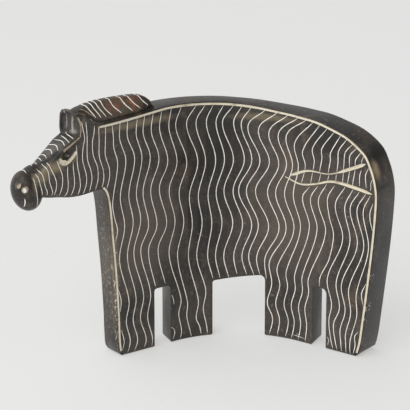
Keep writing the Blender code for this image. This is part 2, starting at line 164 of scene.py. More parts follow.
# %% The side view, in millimetres
CHEST_LINE = (
    (-54.6, 0.0), (-56.0, 2.2), (-56.5, 7.2), (-56.8, 17.3), (-57.9, 36.7),
    (-59.4, 53.9), (-60.1, 63.0), (-60.9, 69.0), (-62.0, 72.6), (-63.4, 74.3),
)
JAW_LINE = (
    (-63.4, 74.3), (-69.0, 73.6), (-74.0, 73.3), (-79.0, 73.7), (-84.0, 74.7), (-89.0, 75.5),
    (-95.0, 77.5),
)
FACE_LINE = (
    (-97.0, 86.4), (-92.0, 89.0), (-88.0, 90.9), (-84.5, 93.1), (-81.5, 95.3), (-77.9, 97.5),
    (-76.4, 98.3),
)
EAR_LINE = ((-76.4, 98.3), (-76.7, 99.3), (-76.9, 103.0), (-76.7, 106.2), (-75.6, 107.8), (-73.6, 107.8))
NECK_LINE = ((-73.6, 107.8), (-70.0, 106.4), (-66.8, 104.2), (-64.2, 102.0))
BACK_LINE = (
    (-64.2, 101.7), (-57.0, 101.9), (-46.0, 102.6), (-36.0, 103.4), (-31.0, 103.7), (-24.0, 103.5),
    (-14.0, 103.0), (-4.0, 102.3), (6.0, 101.2), (16.0, 99.9), (26.0, 99.1), (35.0, 98.4), (43.7, 96.4),
    (50.0, 94.4), (55.2, 91.5), (59.7, 87.9), (62.5, 82.8), (64.2, 78.2), (65.3, 72.5), (65.3, 66.0),
    (64.2, 51.0), (62.2, 32.5), (59.7, 12.0), (58.8, 6.0), (57.6, 1.6), (55.9, 0.0),
)
SAME_PLACE = 0.1 * MM
side_view = []
for line in (CHEST_LINE, JAW_LINE, FACE_LINE, EAR_LINE, NECK_LINE, BACK_LINE):
    for point in smooth(line):
        if not side_view or (point - side_view[-1]).length > SAME_PLACE:
            side_view.append(point)
print("points round the side view:", len(side_view))

# %% [markdown]
# ## Working with meshes
#
# Every shape below starts in bmesh, from one face or one ready-made form, and operators do the rest.
# It is the way that leaves each step to be read, where modelling by hand would leave only its result.
# The forms are then joined and cut with Boolean modifiers. The manifold solver is used, because it
# always gives back a closed surface, and it keeps the pale material of a cutter on the cut it makes.

# %% Mesh helpers
STONE, SCRIBED, GOUGED, TANNED = 0, 1, 2, 3
shelf = bpy.data.collections.new("cutters")
bpy.context.scene.collection.children.link(shelf)


def as_object(name, bm, finish=STONE):
    """A finished bmesh as an object on the shelf, which is hidden from renders."""
    bmesh.ops.recalc_face_normals(bm, faces=bm.faces)
    for face in bm.faces:
        face.material_index = finish
    mesh = bpy.data.meshes.new(name)
    bm.to_mesh(mesh)
    bm.free()
    made = bpy.data.objects.new(name, mesh)
    shelf.objects.link(made)
    made.hide_render = True
    return made


def evaluated_mesh(made):
    bpy.context.view_layer.update()
    return bpy.data.meshes.new_from_object(made.evaluated_get(bpy.context.evaluated_depsgraph_get()))


def combine(piece, operation, tools, solver="MANIFOLD"):
    """Cuts the tools from the piece, or joins them to it, and puts the tools away."""
    for tool in tools:
        for finish in piece.data.materials:
            tool.data.materials.append(finish)
        modifier = piece.modifiers.new(tool.name, "BOOLEAN")
        modifier.operation = operation
        modifier.solver = solver
        modifier.object = tool
    mesh = evaluated_mesh(piece)
    piece.modifiers.clear()
    piece.data = mesh
    for tool in tools:
        bpy.data.objects.remove(tool)
    return len(mesh.polygons)


def plate(name, outline, front, back):
    """A side view given its thickness from front to back."""
    bm = bmesh.new()
    face = bm.faces.new([bm.verts.new((point[0], front, point[1])) for point in outline])
    grown = bmesh.ops.extrude_face_region(bm, geom=[face])["geom"]
    corners = [item for item in grown if isinstance(item, bmesh.types.BMVert)]
    bmesh.ops.translate(bm, vec=(0, back - front, 0), verts=corners)
    return as_object(name, bm)


def egg(name, centre, half_sizes, turn, rings=16, finish=STONE):
    """A ball stretched to its half sizes, turned and set in its place."""
    bm = bmesh.new()
    bmesh.ops.create_uvsphere(bm, u_segments=2 * rings, v_segments=rings, radius=1.0)
    place = Matrix.Translation(centre) @ turn.to_4x4() @ Matrix.Diagonal((*half_sizes, 1.0))
    bmesh.ops.transform(bm, matrix=place, verts=bm.verts)
    return as_object(name, bm, finish)


def wedge(name, corners):
    """The block that spans the corners."""
    bm = bmesh.new()
    for corner in corners:
        bm.verts.new(corner)
    bmesh.ops.convex_hull(bm, input=bm.verts)
    return as_object(name, bm)


def slice_up(bm, places, direction, left_of=inf):
    """Cuts the mesh, or its part left of a place, by planes that all face one way."""
    for place in places:
        faces = [face for face in bm.faces if face.calc_center_median().x < left_of]
        rest = {item for face in faces for item in (*face.edges, *face.verts)}
        bmesh.ops.bisect_plane(bm, geom=[*faces, *rest], dist=TINY, plane_co=place, plane_no=direction)


def steps(start, end, step):
    """Even places between two distances that are given in millimetres."""
    count = round((end - start) / step)
    return [(start + (end - start) * i / count) * MM for i in range(count + 1)]


# %% [markdown]
# ## The slab with its legs
#
# The side view is one face, extruded. The slots between the legs are sawn, so they are cut with plain
# blocks whose top corners are round. They lean towards the middle of the bow as they go back.

# %% The slab and the gaps between the legs
LOW = -10.0 * MM
GAP_LEFT_CORNER = 1.2 * MM
GAP_RIGHT_CORNER = 2.2 * MM
CORNER_PARTS = 5
GAPS = {
    "front_slot": {"left": -37.9, "width": 8.2, "height": 25.8, "rise": 0.0, "lean": 0.24},
    "belly_gap": {"left": -10.1, "width": 22.1, "height": 24.6, "rise": 2.3, "lean": 0.0},
    "back_slot": {"left": 34.5, "width": 6.8, "height": 26.4, "rise": 0.0, "lean": -0.24},
}


def arc(x, z, radius, start, end):
    """The round corner of a slot."""
    turns = [start + (end - start) * i / CORNER_PARTS for i in range(CORNER_PARTS + 1)]
    return [(x + radius * cos(turn), z + radius * sin(turn)) for turn in turns]


def gap_cutter(name, left, width, height, rise, lean):
    """The block that leaves a gap. Its right end may be higher, and it leans as it goes back."""
    left, right = left * MM, (left + width) * MM
    top = height * MM - GAP_LEFT_CORNER
    far_top = (height + rise) * MM - GAP_RIGHT_CORNER
    outline = [(left, LOW)] + arc(left + GAP_LEFT_CORNER, top, GAP_LEFT_CORNER, pi, pi / 2)
    outline += arc(right - GAP_RIGHT_CORNER, far_top, GAP_RIGHT_CORNER, pi / 2, 0.0) + [(right, LOW)]
    cutter = plate(name, outline, -SLAB, 2 * SLAB)
    shear = Matrix.Identity(4)
    shear[0][1] = lean
    cutter.data.transform(shear)
    return cutter


zebra = plate("zebra_carving", side_view, 0.0, SLAB)
gaps = [gap_cutter(name, **sizes) for name, sizes in GAPS.items()]
faces = combine(zebra, "DIFFERENCE", gaps, "EXACT")
print("faces of the sawn slab:", faces)

# %% [markdown]
# ## Filed edges
#
# A file takes the sharp edges off: little at the front, more at the back and the feet, most along the
# jaw. Bevel is the operator for this. It is run once for each kind of edge, jaw first, and an edge
# counts as sharp when its two faces meet at more than forty degrees. A Bevel modifier would give all
# the edges one width.

# %% Round the edges
FRONT_EDGE, BACK_EDGE, FOOT_EDGE, JAW_EDGE = 0.5 * MM, 1.1 * MM, 1.0 * MM, 1.5 * MM
EDGE_PARTS = 3
JAW_END, JAW_TOP = -64.0 * MM, 80.0 * MM
SHARP = radians(40.0)


def soften(bm, width, is_chosen):
    """Rounds the sharp edges that are chosen."""
    edges = [edge for edge in bm.edges if edge.calc_face_angle(0.0) > SHARP and is_chosen(edge)]
    bmesh.ops.bevel(
        bm, geom=edges, offset=width, segments=EDGE_PARTS, profile=0.5, affect="EDGES",
        clamp_overlap=True, material=-1,
    )
    return len(edges)


def at_depth(depth):
    return lambda edge: all(abs(vert.co.y - depth) < TINY for vert in edge.verts)


def on_jaw(edge):
    return all(vert.co.x < JAW_END and vert.co.z < JAW_TOP for vert in edge.verts)


at_front, at_back = at_depth(0.0), at_depth(SLAB)
bm = bmesh.new()
bm.from_mesh(zebra.data)
counts = [
    soften(bm, JAW_EDGE, lambda edge: on_jaw(edge) and (at_front(edge) or at_back(edge))),
    soften(bm, FOOT_EDGE, lambda edge: all(vert.co.z < TINY for vert in edge.verts)),
    soften(bm, BACK_EDGE, at_back),
    soften(bm, FRONT_EDGE, at_front),
]
bmesh.ops.remove_doubles(bm, verts=bm.verts, dist=TINY)
strip = 2 * BOW_REACH / BOW_STRIPS
lines = [-BOW_REACH + strip * i for i in range(BOW_STRIPS + 1)] + [CHEST_SIDE, RUMP_SIDE]
slice_up(bm, [(x, 0, 0) for x in lines], (1, 0, 0))
bm.to_mesh(zebra.data)
bm.free()
print("edges filed on the jaw, feet, back and front:", counts)

# %% [markdown]
# ## The head
#
# The muzzle is a ball set on the end of the slab. Two slanting cuts narrow the bridge of the nose, so
# that the forehead is broad and the nose is not. The fronts of the ears lie in one slanting plane.
# Sculpting would give the same head, but then its sizes could not be read or changed.

# %% The nose, the muzzle and the ears
MUZZLE_CENTRE = Vector((-95.9 * MM, MID, 79.1 * MM))
MUZZLE_SIZE = Vector((12.8, 11.9, 17.4)) * MM / 2
MUZZLE_TILT = Matrix.Rotation(radians(-16.0), 3, "Y")
BRIDGE_WIDTH, BRIDGE_DROP = 2.6 * MM, 2.8 * MM
BRIDGE_STATIONS = ((-104.0, 83.0, 1.0), (-91.0, 89.5, 1.0), (-80.0, 96.1, 0.02))
EAR_FAR_FRONT = -77.0 * MM
EAR_NEAR_FOOT = (-73.1 * MM, 99.4 * MM)
EAR_NEAR_TIP = (-76.9 * MM, 112.0 * MM)
EAR_OVERHANG = 1 / 4
FOREHEAD_HEIGHT, FOREHEAD_SLOPE = 97.7 * MM, 0.53
NEAR, FAR = 1, -1


def seen_from(side, y):
    """A depth below the near face, or the same depth below the far face."""
    return y if side == NEAR else SLAB - y


def bridge_cut(side):
    """The block that a slanting cut takes off one side of the nose."""
    corners = []
    half = MID - BRIDGE_WIDTH / 2
    for x, top, share in BRIDGE_STATIONS:
        x, top = x * MM, top * MM
        ridge, outside = seen_from(side, half * share), seen_from(side, -MID)
        low = top - BRIDGE_DROP * share
        corners += [(x, ridge, top), (x, seen_from(side, 0.0), low), (x, outside, low)]
        corners += [(x, outside, top + MID), (x, ridge, top + MID)]
    return wedge("bridge", corners)


def ear_front():
    """The block that is cut away in front of the ears, down to the forehead."""
    corners = []
    for near, height in (EAR_NEAR_FOOT, EAR_NEAR_TIP):
        for y in (-SLAB * EAR_OVERHANG, SLAB * (1 + EAR_OVERHANG)):
            x = near + (EAR_FAR_FRONT - near) * y / SLAB
            low, lower = height, height
            if near == EAR_NEAR_FOOT[0]:
                low = FOREHEAD_HEIGHT + FOREHEAD_SLOPE * (x - EAR_FAR_FRONT)
                lower = low - FOREHEAD_SLOPE * SLAB
            corners += [(x, y, low), (x - SLAB, y, lower)]
    return wedge("ear_front", corners)


BRIDGE_CENTRE = Vector((-93.4 * MM, MID, 82.9 * MM))
BRIDGE_SIZE = Vector((7.5, 3.9, 6.2)) * MM
BRIDGE_SLOPE = Matrix.Rotation(radians(-28.0), 3, "Y")
combine(zebra, "DIFFERENCE", [bridge_cut(NEAR), bridge_cut(FAR)])
combine(zebra, "UNION", [egg("bridge_fullness", BRIDGE_CENTRE, BRIDGE_SIZE, BRIDGE_SLOPE, rings=20)])
faces = combine(zebra, "UNION", [egg("muzzle", MUZZLE_CENTRE, MUZZLE_SIZE, MUZZLE_TILT, rings=28)])
print("faces with the muzzle on:", faces)

# %% [markdown]
# ## A soft nose
#
# On the stone the ball of the nose flows into the bridge and the cheek, with only a shallow valley. A
# bevel can't follow such a crease over so many small faces. So the head is cut into a fine grid, and
# the grid is relaxed, fully at the valley and less and less away from it.

# %% Relax the nose
GRID, DEPTH_GRID = 0.8, 1.0
SOFT_REACH = (-99.5, -94.0, -86.0, -79.0)
SOFT_ROUNDS, SOFT_PULL = 12, 0.5
HEAD_HEIGHTS = (68.0, 99.0)


def softness(x):
    """One at the valley behind the muzzle, and less and less away from it."""
    begin, full, fading, end = SOFT_REACH
    return max(0.0, min(1.0, (x / MM - begin) / (full - begin), (end - x / MM) / (end - fading)))


bm = bmesh.new()
bm.from_mesh(zebra.data)
slice_up(bm, [(SOFT_REACH[3] * MM, 0, 0)], (1, 0, 0))
head = SOFT_REACH[3] * MM
slice_up(bm, [(x, 0, 0) for x in steps(SOFT_REACH[0], SOFT_REACH[3], GRID)[:-1]], (1, 0, 0), head)
slice_up(bm, [(0, 0, z) for z in steps(*HEAD_HEIGHTS, GRID)], (0, 0, 1), head)
depths = steps(DEPTH_GRID, SLAB / MM - DEPTH_GRID, DEPTH_GRID)
slice_up(bm, [(0, y, 0) for y in depths], (0, 1, 0), head)
bm.to_mesh(zebra.data)
bm.free()
group = zebra.vertex_groups.new(name="soft")
for vert in zebra.data.vertices:
    group.add([vert.index], softness(vert.co.x), "REPLACE")
relax = zebra.modifiers.new("relax", "SMOOTH")
relax.factor = SOFT_PULL
relax.iterations = SOFT_ROUNDS
relax.vertex_group = group.name
relaxed = evaluated_mesh(zebra)
zebra.modifiers.clear()
zebra.vertex_groups.clear()
zebra.data = relaxed
print("faces with the nose relaxed:", len(relaxed.polygons))

# %% [markdown]
# ## The mane
#
# The mane is a crest, broad at its foot and narrow at its top. Its side view is cut into a grid, and
# each point of the grid is drawn in by a rule that depends on how high it is. The rows of the grid lie
# closer together near the crest, where the mane is roundest. A subdivided cage could do this too, but
# the rule keeps the width exact along the neck.

# %% The mane
MANE_LINE = (
    (-75.4, 107.2), (-74.5, 107.9), (-71.8, 108.9), (-66.0, 110.0), (-60.0, 110.38), (-53.3, 110.28),
    (-46.4, 109.9), (-42.0, 109.3), (-39.2, 108.1), (-36.9, 106.2), (-35.5, 103.9), (-34.9, 102.4),
)
MANE_THROAT = ((-68.0, 104.6), (-70.0, 106.0))
MANE_FOOT, MANE_TIP = 101.2, -65.2
MANE_HALF_WIDTH, MANE_FRONT_HALF_WIDTH, MANE_CREST_HALF_WIDTH = 3.9, 5.3, 1.1
MANE_FADE = 6.0
MANE_ROUNDNESS = 1.6
MANE_CELL, MANE_CROWDING = 1.2, 1.5
MANE_BLANK = 1 * MM
mane_profile = [tuple(point / MM) for point in smooth(MANE_LINE)]


def mane_top(x):
    return height_on(mane_profile, x)


def mane_half_width(x, z):
    """Half the mane's width at a place: full at the foot, round towards the crest, fuller in front."""
    rise = min(1.0, max(0.0, (z - MANE_FOOT) / (mane_top(x) - MANE_FOOT)))
    fuller = min(1.0, max(0.0, (MANE_TIP - x) / MANE_FADE + 1))
    foot = MANE_HALF_WIDTH + fuller * (MANE_FRONT_HALF_WIDTH - MANE_HALF_WIDTH)
    return MANE_CREST_HALF_WIDTH + (foot - MANE_CREST_HALF_WIDTH) * sqrt(1 - rise**MANE_ROUNDNESS)


outline = mane_profile + [(MANE_LINE[-1][0], MANE_FOOT), (MANE_TIP, MANE_FOOT), *MANE_THROAT]
mane = plate("mane", [Vector(point) * MM for point in outline], MID - MANE_BLANK, MID + MANE_BLANK)
bm = bmesh.new()
bm.from_mesh(mane.data)
mane_length = MANE_LINE[-1][0] - MANE_LINE[0][0]
columns = round(mane_length / MANE_CELL)
cuts = [(MANE_LINE[0][0] + mane_length * i / columns) * MM for i in range(1, columns)]
slice_up(bm, [(x, 0, 0) for x in cuts], (1, 0, 0))
mane_rise = max(z for x, z in MANE_LINE) - MANE_FOOT
levels = 2 * round(mane_rise / MANE_CELL)
heights = [MANE_FOOT + mane_rise * (1 - (1 - i / levels) ** MANE_CROWDING) for i in range(1, levels)]
slice_up(bm, [(0, 0, height * MM) for height in heights], (0, 0, 1))
for vert in bm.verts:
    side = NEAR if vert.co.y < MID else FAR
    vert.co.y = MID - side * mane_half_width(vert.co.x / MM, vert.co.z / MM) * MM
bm.to_mesh(mane.data)
bm.free()
faces = combine(zebra, "UNION", [mane])
print("faces with the mane on:", faces)

# %% [markdown]
# ## Hollows of the head
#
# Ears, eye sockets and nostrils are cut with a round gouge. An ellipsoid is the shape that such a
# gouge leaves. The eyeball is a small ball put back into its socket. Each nostril mark has its place
# on the muzzle as two angles, then its width as a share of its height, its half height in
# millimetres, and its depth as a share of that. A deep one shows bright stone, a shallow one is tan.
# The tan of the last, shallow one is also painted shade, as that nostril lies half in shadow.

# %% Ears, eyes and nostrils
EAR_SPACING = 5.4 * MM
EAR_HOLLOW = Vector((1.7, 3.7 / 2, 8.2 / 2)) * MM
EAR_SLANT = Matrix.Rotation(radians(-16.0), 3, "Z")
EAR_LAY_BACK, EAR_MIDDLE = 0.28, 103.3 * MM
SOCKET_PLACE, SOCKET_SIZE = (-78.7, 92.6), Vector((4.1, 1.1, 1.9)) * MM
SOCKET_TILT = Matrix.Rotation(radians(-30.0), 3, "Y")
EYE_PLACE, EYE_DEPTH, EYE_RADIUS = (-79.6, 92.0), 1.0 * MM, 1.3 * MM
NOSTRILS = (
    (60.5, 20.0, 0.85, 1.8, 0.26, TANNED),
    (58.0, 20.5, 0.8, 1.2, 0.62, SCRIBED),
    # The last nostril is tan also as painted shade: it lies half in shadow.
    (37.0, 34.0, 0.5, 1.8, 0.2, TANNED),
)
FINISHES = ("waxed_stone", "scribed_line", "gouged_stone", "tanned_stone")


def on_muzzle(turn, rise):
    """A place on the muzzle, turned from its tip towards the near side and up, in degrees."""
    turn, rise = radians(turn), radians(rise)
    place = Vector((-cos(rise) * cos(turn), -cos(rise) * sin(turn), sin(rise)))
    return MUZZLE_CENTRE + MUZZLE_TILT @ (place * MUZZLE_SIZE)


no_turn = Matrix.Identity(3)
hollows = [ear_front()]
for side in (NEAR, FAR):
    y = MID - side * EAR_SPACING / 2
    centre = (EAR_FAR_FRONT + (SLAB - y) * EAR_LAY_BACK, y, EAR_MIDDLE)
    hollows.append(egg("ear_hollow", centre, EAR_HOLLOW, EAR_SLANT))
    centre = (SOCKET_PLACE[0] * MM, seen_from(side, 0.0), SOCKET_PLACE[1] * MM)
    hollows.append(egg("socket", centre, SOCKET_SIZE, SOCKET_TILT))
for turn, rise, width, radius, flatness, finish in NOSTRILS:
    place = on_muzzle(turn, rise)
    inwards = (MUZZLE_CENTRE - place).to_track_quat("Z", "Y").to_matrix()
    size = Vector((radius * width, radius, radius * flatness)) * MM
    hollows.append(egg("nostril", place, size, inwards, rings=12, finish=finish))
zebra.data.materials.clear()
for name in FINISHES:
    zebra.data.materials.append(bpy.data.materials.new(name))
combine(zebra, "DIFFERENCE", hollows)
eyes = []
for side in (NEAR, FAR):
    centre = (EYE_PLACE[0] * MM, seen_from(side, EYE_DEPTH), EYE_PLACE[1] * MM)
    eyes.append(egg("eyeball", centre, Vector((EYE_RADIUS,) * 3), no_turn, rings=10))
faces = combine(zebra, "UNION", eyes)
print("faces with the hollows cut:", faces)

# %% [markdown]
# ## Scribing tool
#
# A scribed line is a narrow V. The cutter for it is a rod with four sides, swept along the line: a
# small square starts at the first place, and its end face is extruded from place to place and turned
# to follow the surface. Its near half stays in the air, its far half makes the V. A curve with a
# bevel could carve the line too, but it can't turn with the surface under it.

# %% A rod swept along a line on the surface
AIR = 0.12


def frame_at(places, normals, i, half_width, depth):
    """Where the tool is at one place: across the line, into the surface, and along the line."""
    along = (places[min(i + 1, len(places) - 1)] - places[max(i - 1, 0)]).normalized()
    out = (normals[i] - along * normals[i].dot(along)).normalized()
    across = along.cross(out)
    turn = Matrix((across * half_width, out * depth, along * half_width)).transposed().to_4x4()
    return Matrix.Translation(places[i] + out * depth * AIR) @ turn


def scribe(places, normals, half_width, depth, taper=None):
    """The cutter of one line as a bmesh. Taper gives the share of the width at each place."""
    shares = taper or [1.0] * len(places)
    frames = [
        frame_at(places, normals, i, half_width * share, depth * share) for i, share in enumerate(shares)
    ]
    bm = bmesh.new()
    bmesh.ops.create_circle(bm, cap_ends=True, segments=4, radius=1.0, matrix=frames[0])
    bm.faces.ensure_lookup_table()
    end = bm.faces[0]
    for before, here in zip(frames, frames[1:]):
        grown = bmesh.ops.extrude_face_region(bm, geom=[end, *end.edges])["geom"]
        corners = [item for item in grown if isinstance(item, bmesh.types.BMVert)]
        end = next(item for item in grown if isinstance(item, bmesh.types.BMFace))
        bmesh.ops.transform(bm, matrix=here @ before.inverted(), verts=corners)
    return bm


def gather(name, tools, finish):
    """Cutters that don't touch each other, as one object."""
    whole = bmesh.new()
    for tool in tools:
        bmesh.ops.recalc_face_normals(tool, faces=tool.faces)
        mesh = bpy.data.meshes.new(name)
        tool.to_mesh(mesh)
        tool.free()
        whole.from_mesh(mesh)
        bpy.data.meshes.remove(mesh)
    return as_object(name, whole, finish)


# %% [markdown]
# ## Stripes
#
# The carver drew each stripe by eye, so no two are alike, but they all swing together: left, right,
# left, right. Each row below is one stripe. It gives only how far along the slab the stripe is at
# each swing, and how high the swings are comes from a few lines that all the stripes share.

# %% How high the swings are
SWINGS = {
    "left_1": ((-62, 94.0), (-43, 94.2), (-20, 94.5), (0, 93.0), (12, 90.0), (21, 89.4), (26, 86.0),
               (56, 86.0)),
    "right_1": ((-60, 83.8), (-46, 84.6), (-38, 83.0), (-30, 79.7), (-20, 77.8), (0, 77.6), (17, 76.6),
                (27, 77.0)),
    "left_2": ((-58, 66.5), (-54, 69.6), (-35, 69.3), (-26, 66.0), (-18, 62.6), (-5, 64.0), (62, 63.8)),
    "right_2": ((-56, 55.8), (-45, 57.6), (-40, 53.6), (-27, 53.2), (-19, 50.7), (0, 49.6), (22, 48.6),
                (33, 51.8), (45, 50.8), (60, 48.4)),
    "left_3": ((-55, 42.2), (-45, 44.2), (-36, 43.0), (-30, 39.4), (-22, 36.2), (0, 35.6), (12, 35.0),
               (16, 31.6), (22, 29.6), (33, 29.0), (42, 31.4), (50, 30.2), (58, 27.0)),
    "right_3": ((-51, 23.4), (-43, 24.5), (-32, 24.0), (-25, 18.7), (-21, 15.9), (-17, 15.5), (-13, 20.6),
                (15, 23.8), (33, 22.8), (44, 20.4), (57, 18.0)),
    "left_4": ((-53, 14.5), (-45, 14.6), (-26, 12.2), (-17, 8.4), (-14, 12.7), (13, 14.9), (31, 15.8),
               (43, 13.0), (47, 10.8), (54, 7.4)),
    "right_4": ((-51, 5.7), (-38, 4.2), (-24, 3.8), (-12, 5.0), (15, 8.1), (32, 8.2), (43, 5.0),
                (55, 3.4)),
}
BORDER_DROP = 1.4
BELLY_END, FOOT_END = 25.6, -0.6
POINTS_ON_TOP = 20
top_border = [(x, z - BORDER_DROP) for x, z in BACK_LINE[:POINTS_ON_TOP]]
print("rows of swings:", len(SWINGS))


def swing_points(row, names, start=None, end=None):
    """The places of one stripe: its row of distances, with the heights of its swings."""
    points = [(row[0], height_on(top_border, row[0]) if start is None else start)]
    points += [(x, height_on(SWINGS[name], x)) for x, name in zip(row[1:], names)]
    if end is not None:
        points.append((row[-1], end))
    return points


# %% The stripes of the body
ALL_SWINGS = ("left_1", "right_1", "left_2", "right_2", "left_3", "right_3", "left_4", "right_4")
LEG_STRIPES = (
    (-54.2, -54.5, -51.6, -54.5, -52.5, -55.2, -50.7, -52.2, -50.3, -52.1),
    (-50.5, -50.7, -47.3, -50.3, -48.3, -51.3, -47.2, -48.8, -46.6, -49.0),
    (-45.8, -46.4, -43.7, -46.6, -44.6, -48.1, -43.4, -45.1, -42.3, -44.1),
    (-42.2, -43.0, -39.6, -43.3, -40.7, -44.7, -39.9, -41.5, -39.1, -39.8),
    (-29.0, -30.3, -26.3, -30.3, -27.4, -30.5, -24.5, -25.7, -24.3, -25.7),
    (-24.1, -26.9, -21.6, -25.3, -23.1, -26.2, -21.4, -21.8, -20.4, -19.3),
    (-17.3, -21.7, -16.6, -20.4, -19.1, -20.9, -16.4, -17.4, -15.8, -14.9),
    (-13.4, -17.4, -13.2, -16.4, -14.7, -17.1, -13.1, -14.2, -12.8, -12.2),
    (26.2, 17.3, 21.1, 16.3, 21.2, 13.9, 15.0, 13.1, 15.5, 13.6),
    (30.0, 20.9, 23.9, 20.3, 24.9, 17.3, 18.6, 16.8, 18.6, 17.3),
    (33.5, 24.8, 26.7, 24.4, 28.1, 21.4, 22.2, 20.6, 22.7, 21.0),
)
BELLY_STRIPES = (
    (-38.0, -39.0, -35.3, -39.5, -36.5, -40.8, -37.1),
    (-33.8, -34.9, -30.9, -35.2, -31.6, -36.0, -32.1),
    (-9.9, -12.9, -8.9, -12.1, -10.5, -12.3, -10.0),
    (-5.7, -8.8, -5.2, -8.7, -6.2, -8.9, -7.0),
    (-1.6, -6.1, -1.5, -5.4, -1.7, -5.4, -3.3),
    (1.8, -1.5, 3.0, -1.6, 2.4, -1.2, 0.5),
    (5.6, 1.6, 6.1, 0.7, 6.2, 2.2, 4.6),
    (11.5, 4.4, 9.5, 3.9, 9.0, 5.0, 7.7),
    (16.5, 8.8, 13.5, 7.7, 13.4, 8.4, 10.2),
    (21.4, 13.2, 17.6, 12.8, 18.0, 12.0, 12.6),
)
stripes = [swing_points(row, ALL_SWINGS, end=FOOT_END) for row in LEG_STRIPES]
stripes += [swing_points(row, ALL_SWINGS[:5], end=BELLY_END) for row in BELLY_STRIPES]
print("stripes from the back down:", len(stripes))

# %% [markdown]
# ## Stripes by the tail, on the neck and on the cheek
#
# The tail's two strokes interrupt the stripes of the rump. Above it they hang from the border, below
# it each starts with a hook under the lower stroke, and short ones stand between the strokes. A row
# above the tail gives a top, two swings and an end, and a row between the strokes only two ends. The
# neck and the cheek have shorter stripes of their own, given point by point.

# %% The stripes of the rump, the neck and the cheek
TAIL_UPPER = ((23.2, 72.7), (31.5, 76.1), (41.8, 76.7), (52.8, 81.2), (59.2, 84.3))
TAIL_LOWER = ((20.5, 71.6), (27.6, 69.7), (35.0, 71.1), (43.0, 73.7), (53.0, 73.4), (62.6, 72.1))
TAIL_CLEARANCE = 0.5
ABOVE_TAIL = (
    (36.8, 28.7, 84.2, 30.1, 78.5, 29.9), (40.4, 33.5, 86.1, 34.5, 80.9, 33.9),
    (43.9, 37.9, 86.6, 38.2, 83.2, 37.1), (47.0, 42.2, 85.6, 42.3, 82.8, 41.3),
    (50.1, 46.2, 87.5, 46.0, 82.8, 45.5), (52.9, 49.4, 87.5, 48.9, 83.2, 48.7),
    (55.0, 51.7, 86.6, 51.5, 82.8, 51.5), (56.9, 54.3, 85.1, 54.2, 83.9, 54.2),
    (58.4, 57.4, 85.6, 57.3, 84.8, 57.4),
)
IN_TAIL = (
    (29.7, 28.3), (33.7, 32.8), (37.7, 36.8), (41.6, 41.1), (45.3, 45.0), (48.7, 48.3), (51.7, 50.7),
    (54.3, 53.1),
)
TAIL_SIDE = (
    ((57.3, 81.4), (56.5, 79.0), (56.5, 74.4)),
    ((60.8, 82.8), (59.3, 79.9), (59.7, 74.2)),
    ((62.4, 78.2), (61.8, 76.1), (62.0, 74.8), (61.6, 73.3)),
)
BELOW_TAIL = (
    (32.3, 28.9, 32.5, 25.5, 25.9, 24.0, 25.6, 23.9), (36.3, 32.8, 36.3, 29.2, 29.5, 27.6, 28.8, 27.3),
    (40.6, 36.7, 40.5, 32.3, 32.6, 30.8, 31.8, 30.9), (49.6, 45.0, 48.9, 41.7, 44.0, 42.8, 43.9, 45.5),
    (53.4, 49.6, 52.4, 46.1, 47.9, 45.1, 46.1, 47.6), (56.5, 52.2, 56.0, 48.7, 50.7, 48.4, 48.9, 49.4),
    (59.5, 55.5, 59.1, 52.3, 53.4, 51.1, 51.3, 51.5), (61.7, 58.5, 61.4, 56.0, 56.4, 53.6, 53.3, 53.8),
)
SHORT_STRIPES = (
    ((44.4, 72.1), (41.2, 66.2), (42.3, 58.0), (44.4, 51.1), (42.4, 40.0), (39.4, 33.9), (38.0, 30.7),
     (37.8, 27.0)),
    ((63.1, 68.3), (61.7, 63.8), (62.1, 60.0), (63.1, 56.7)),
    ((60.5, 33.0), (58.5, 28.4), (59.2, 23.9)),
    ((57.2, 11.2), (55.6, 9.0), (55.9, 4.9), (54.8, 0.6)),
    ((-58.0, 100.4), (-57.5, 95.0), (-57.4, 90.9), (-55.6, 83.8), (-57.8, 70.7), (-58.3, 66.3),
     (-57.4, 61.0), (-56.0, 55.3), (-57.1, 50.6)),
    ((-55.9, 29.6), (-54.6, 24.3), (-55.2, 19.6)),
    ((-54.6, 11.6), (-53.3, 5.7), (-54.5, 2.4)),
)
SLOT_MARKS = (
    ((-29.2, 21.4), (-28.6, 20.0), (-28.0, 16.9)),
    ((-29.3, 6.9), (-28.0, 5.6), (-27.7, 4.0), (-28.6, 1.5)),
)
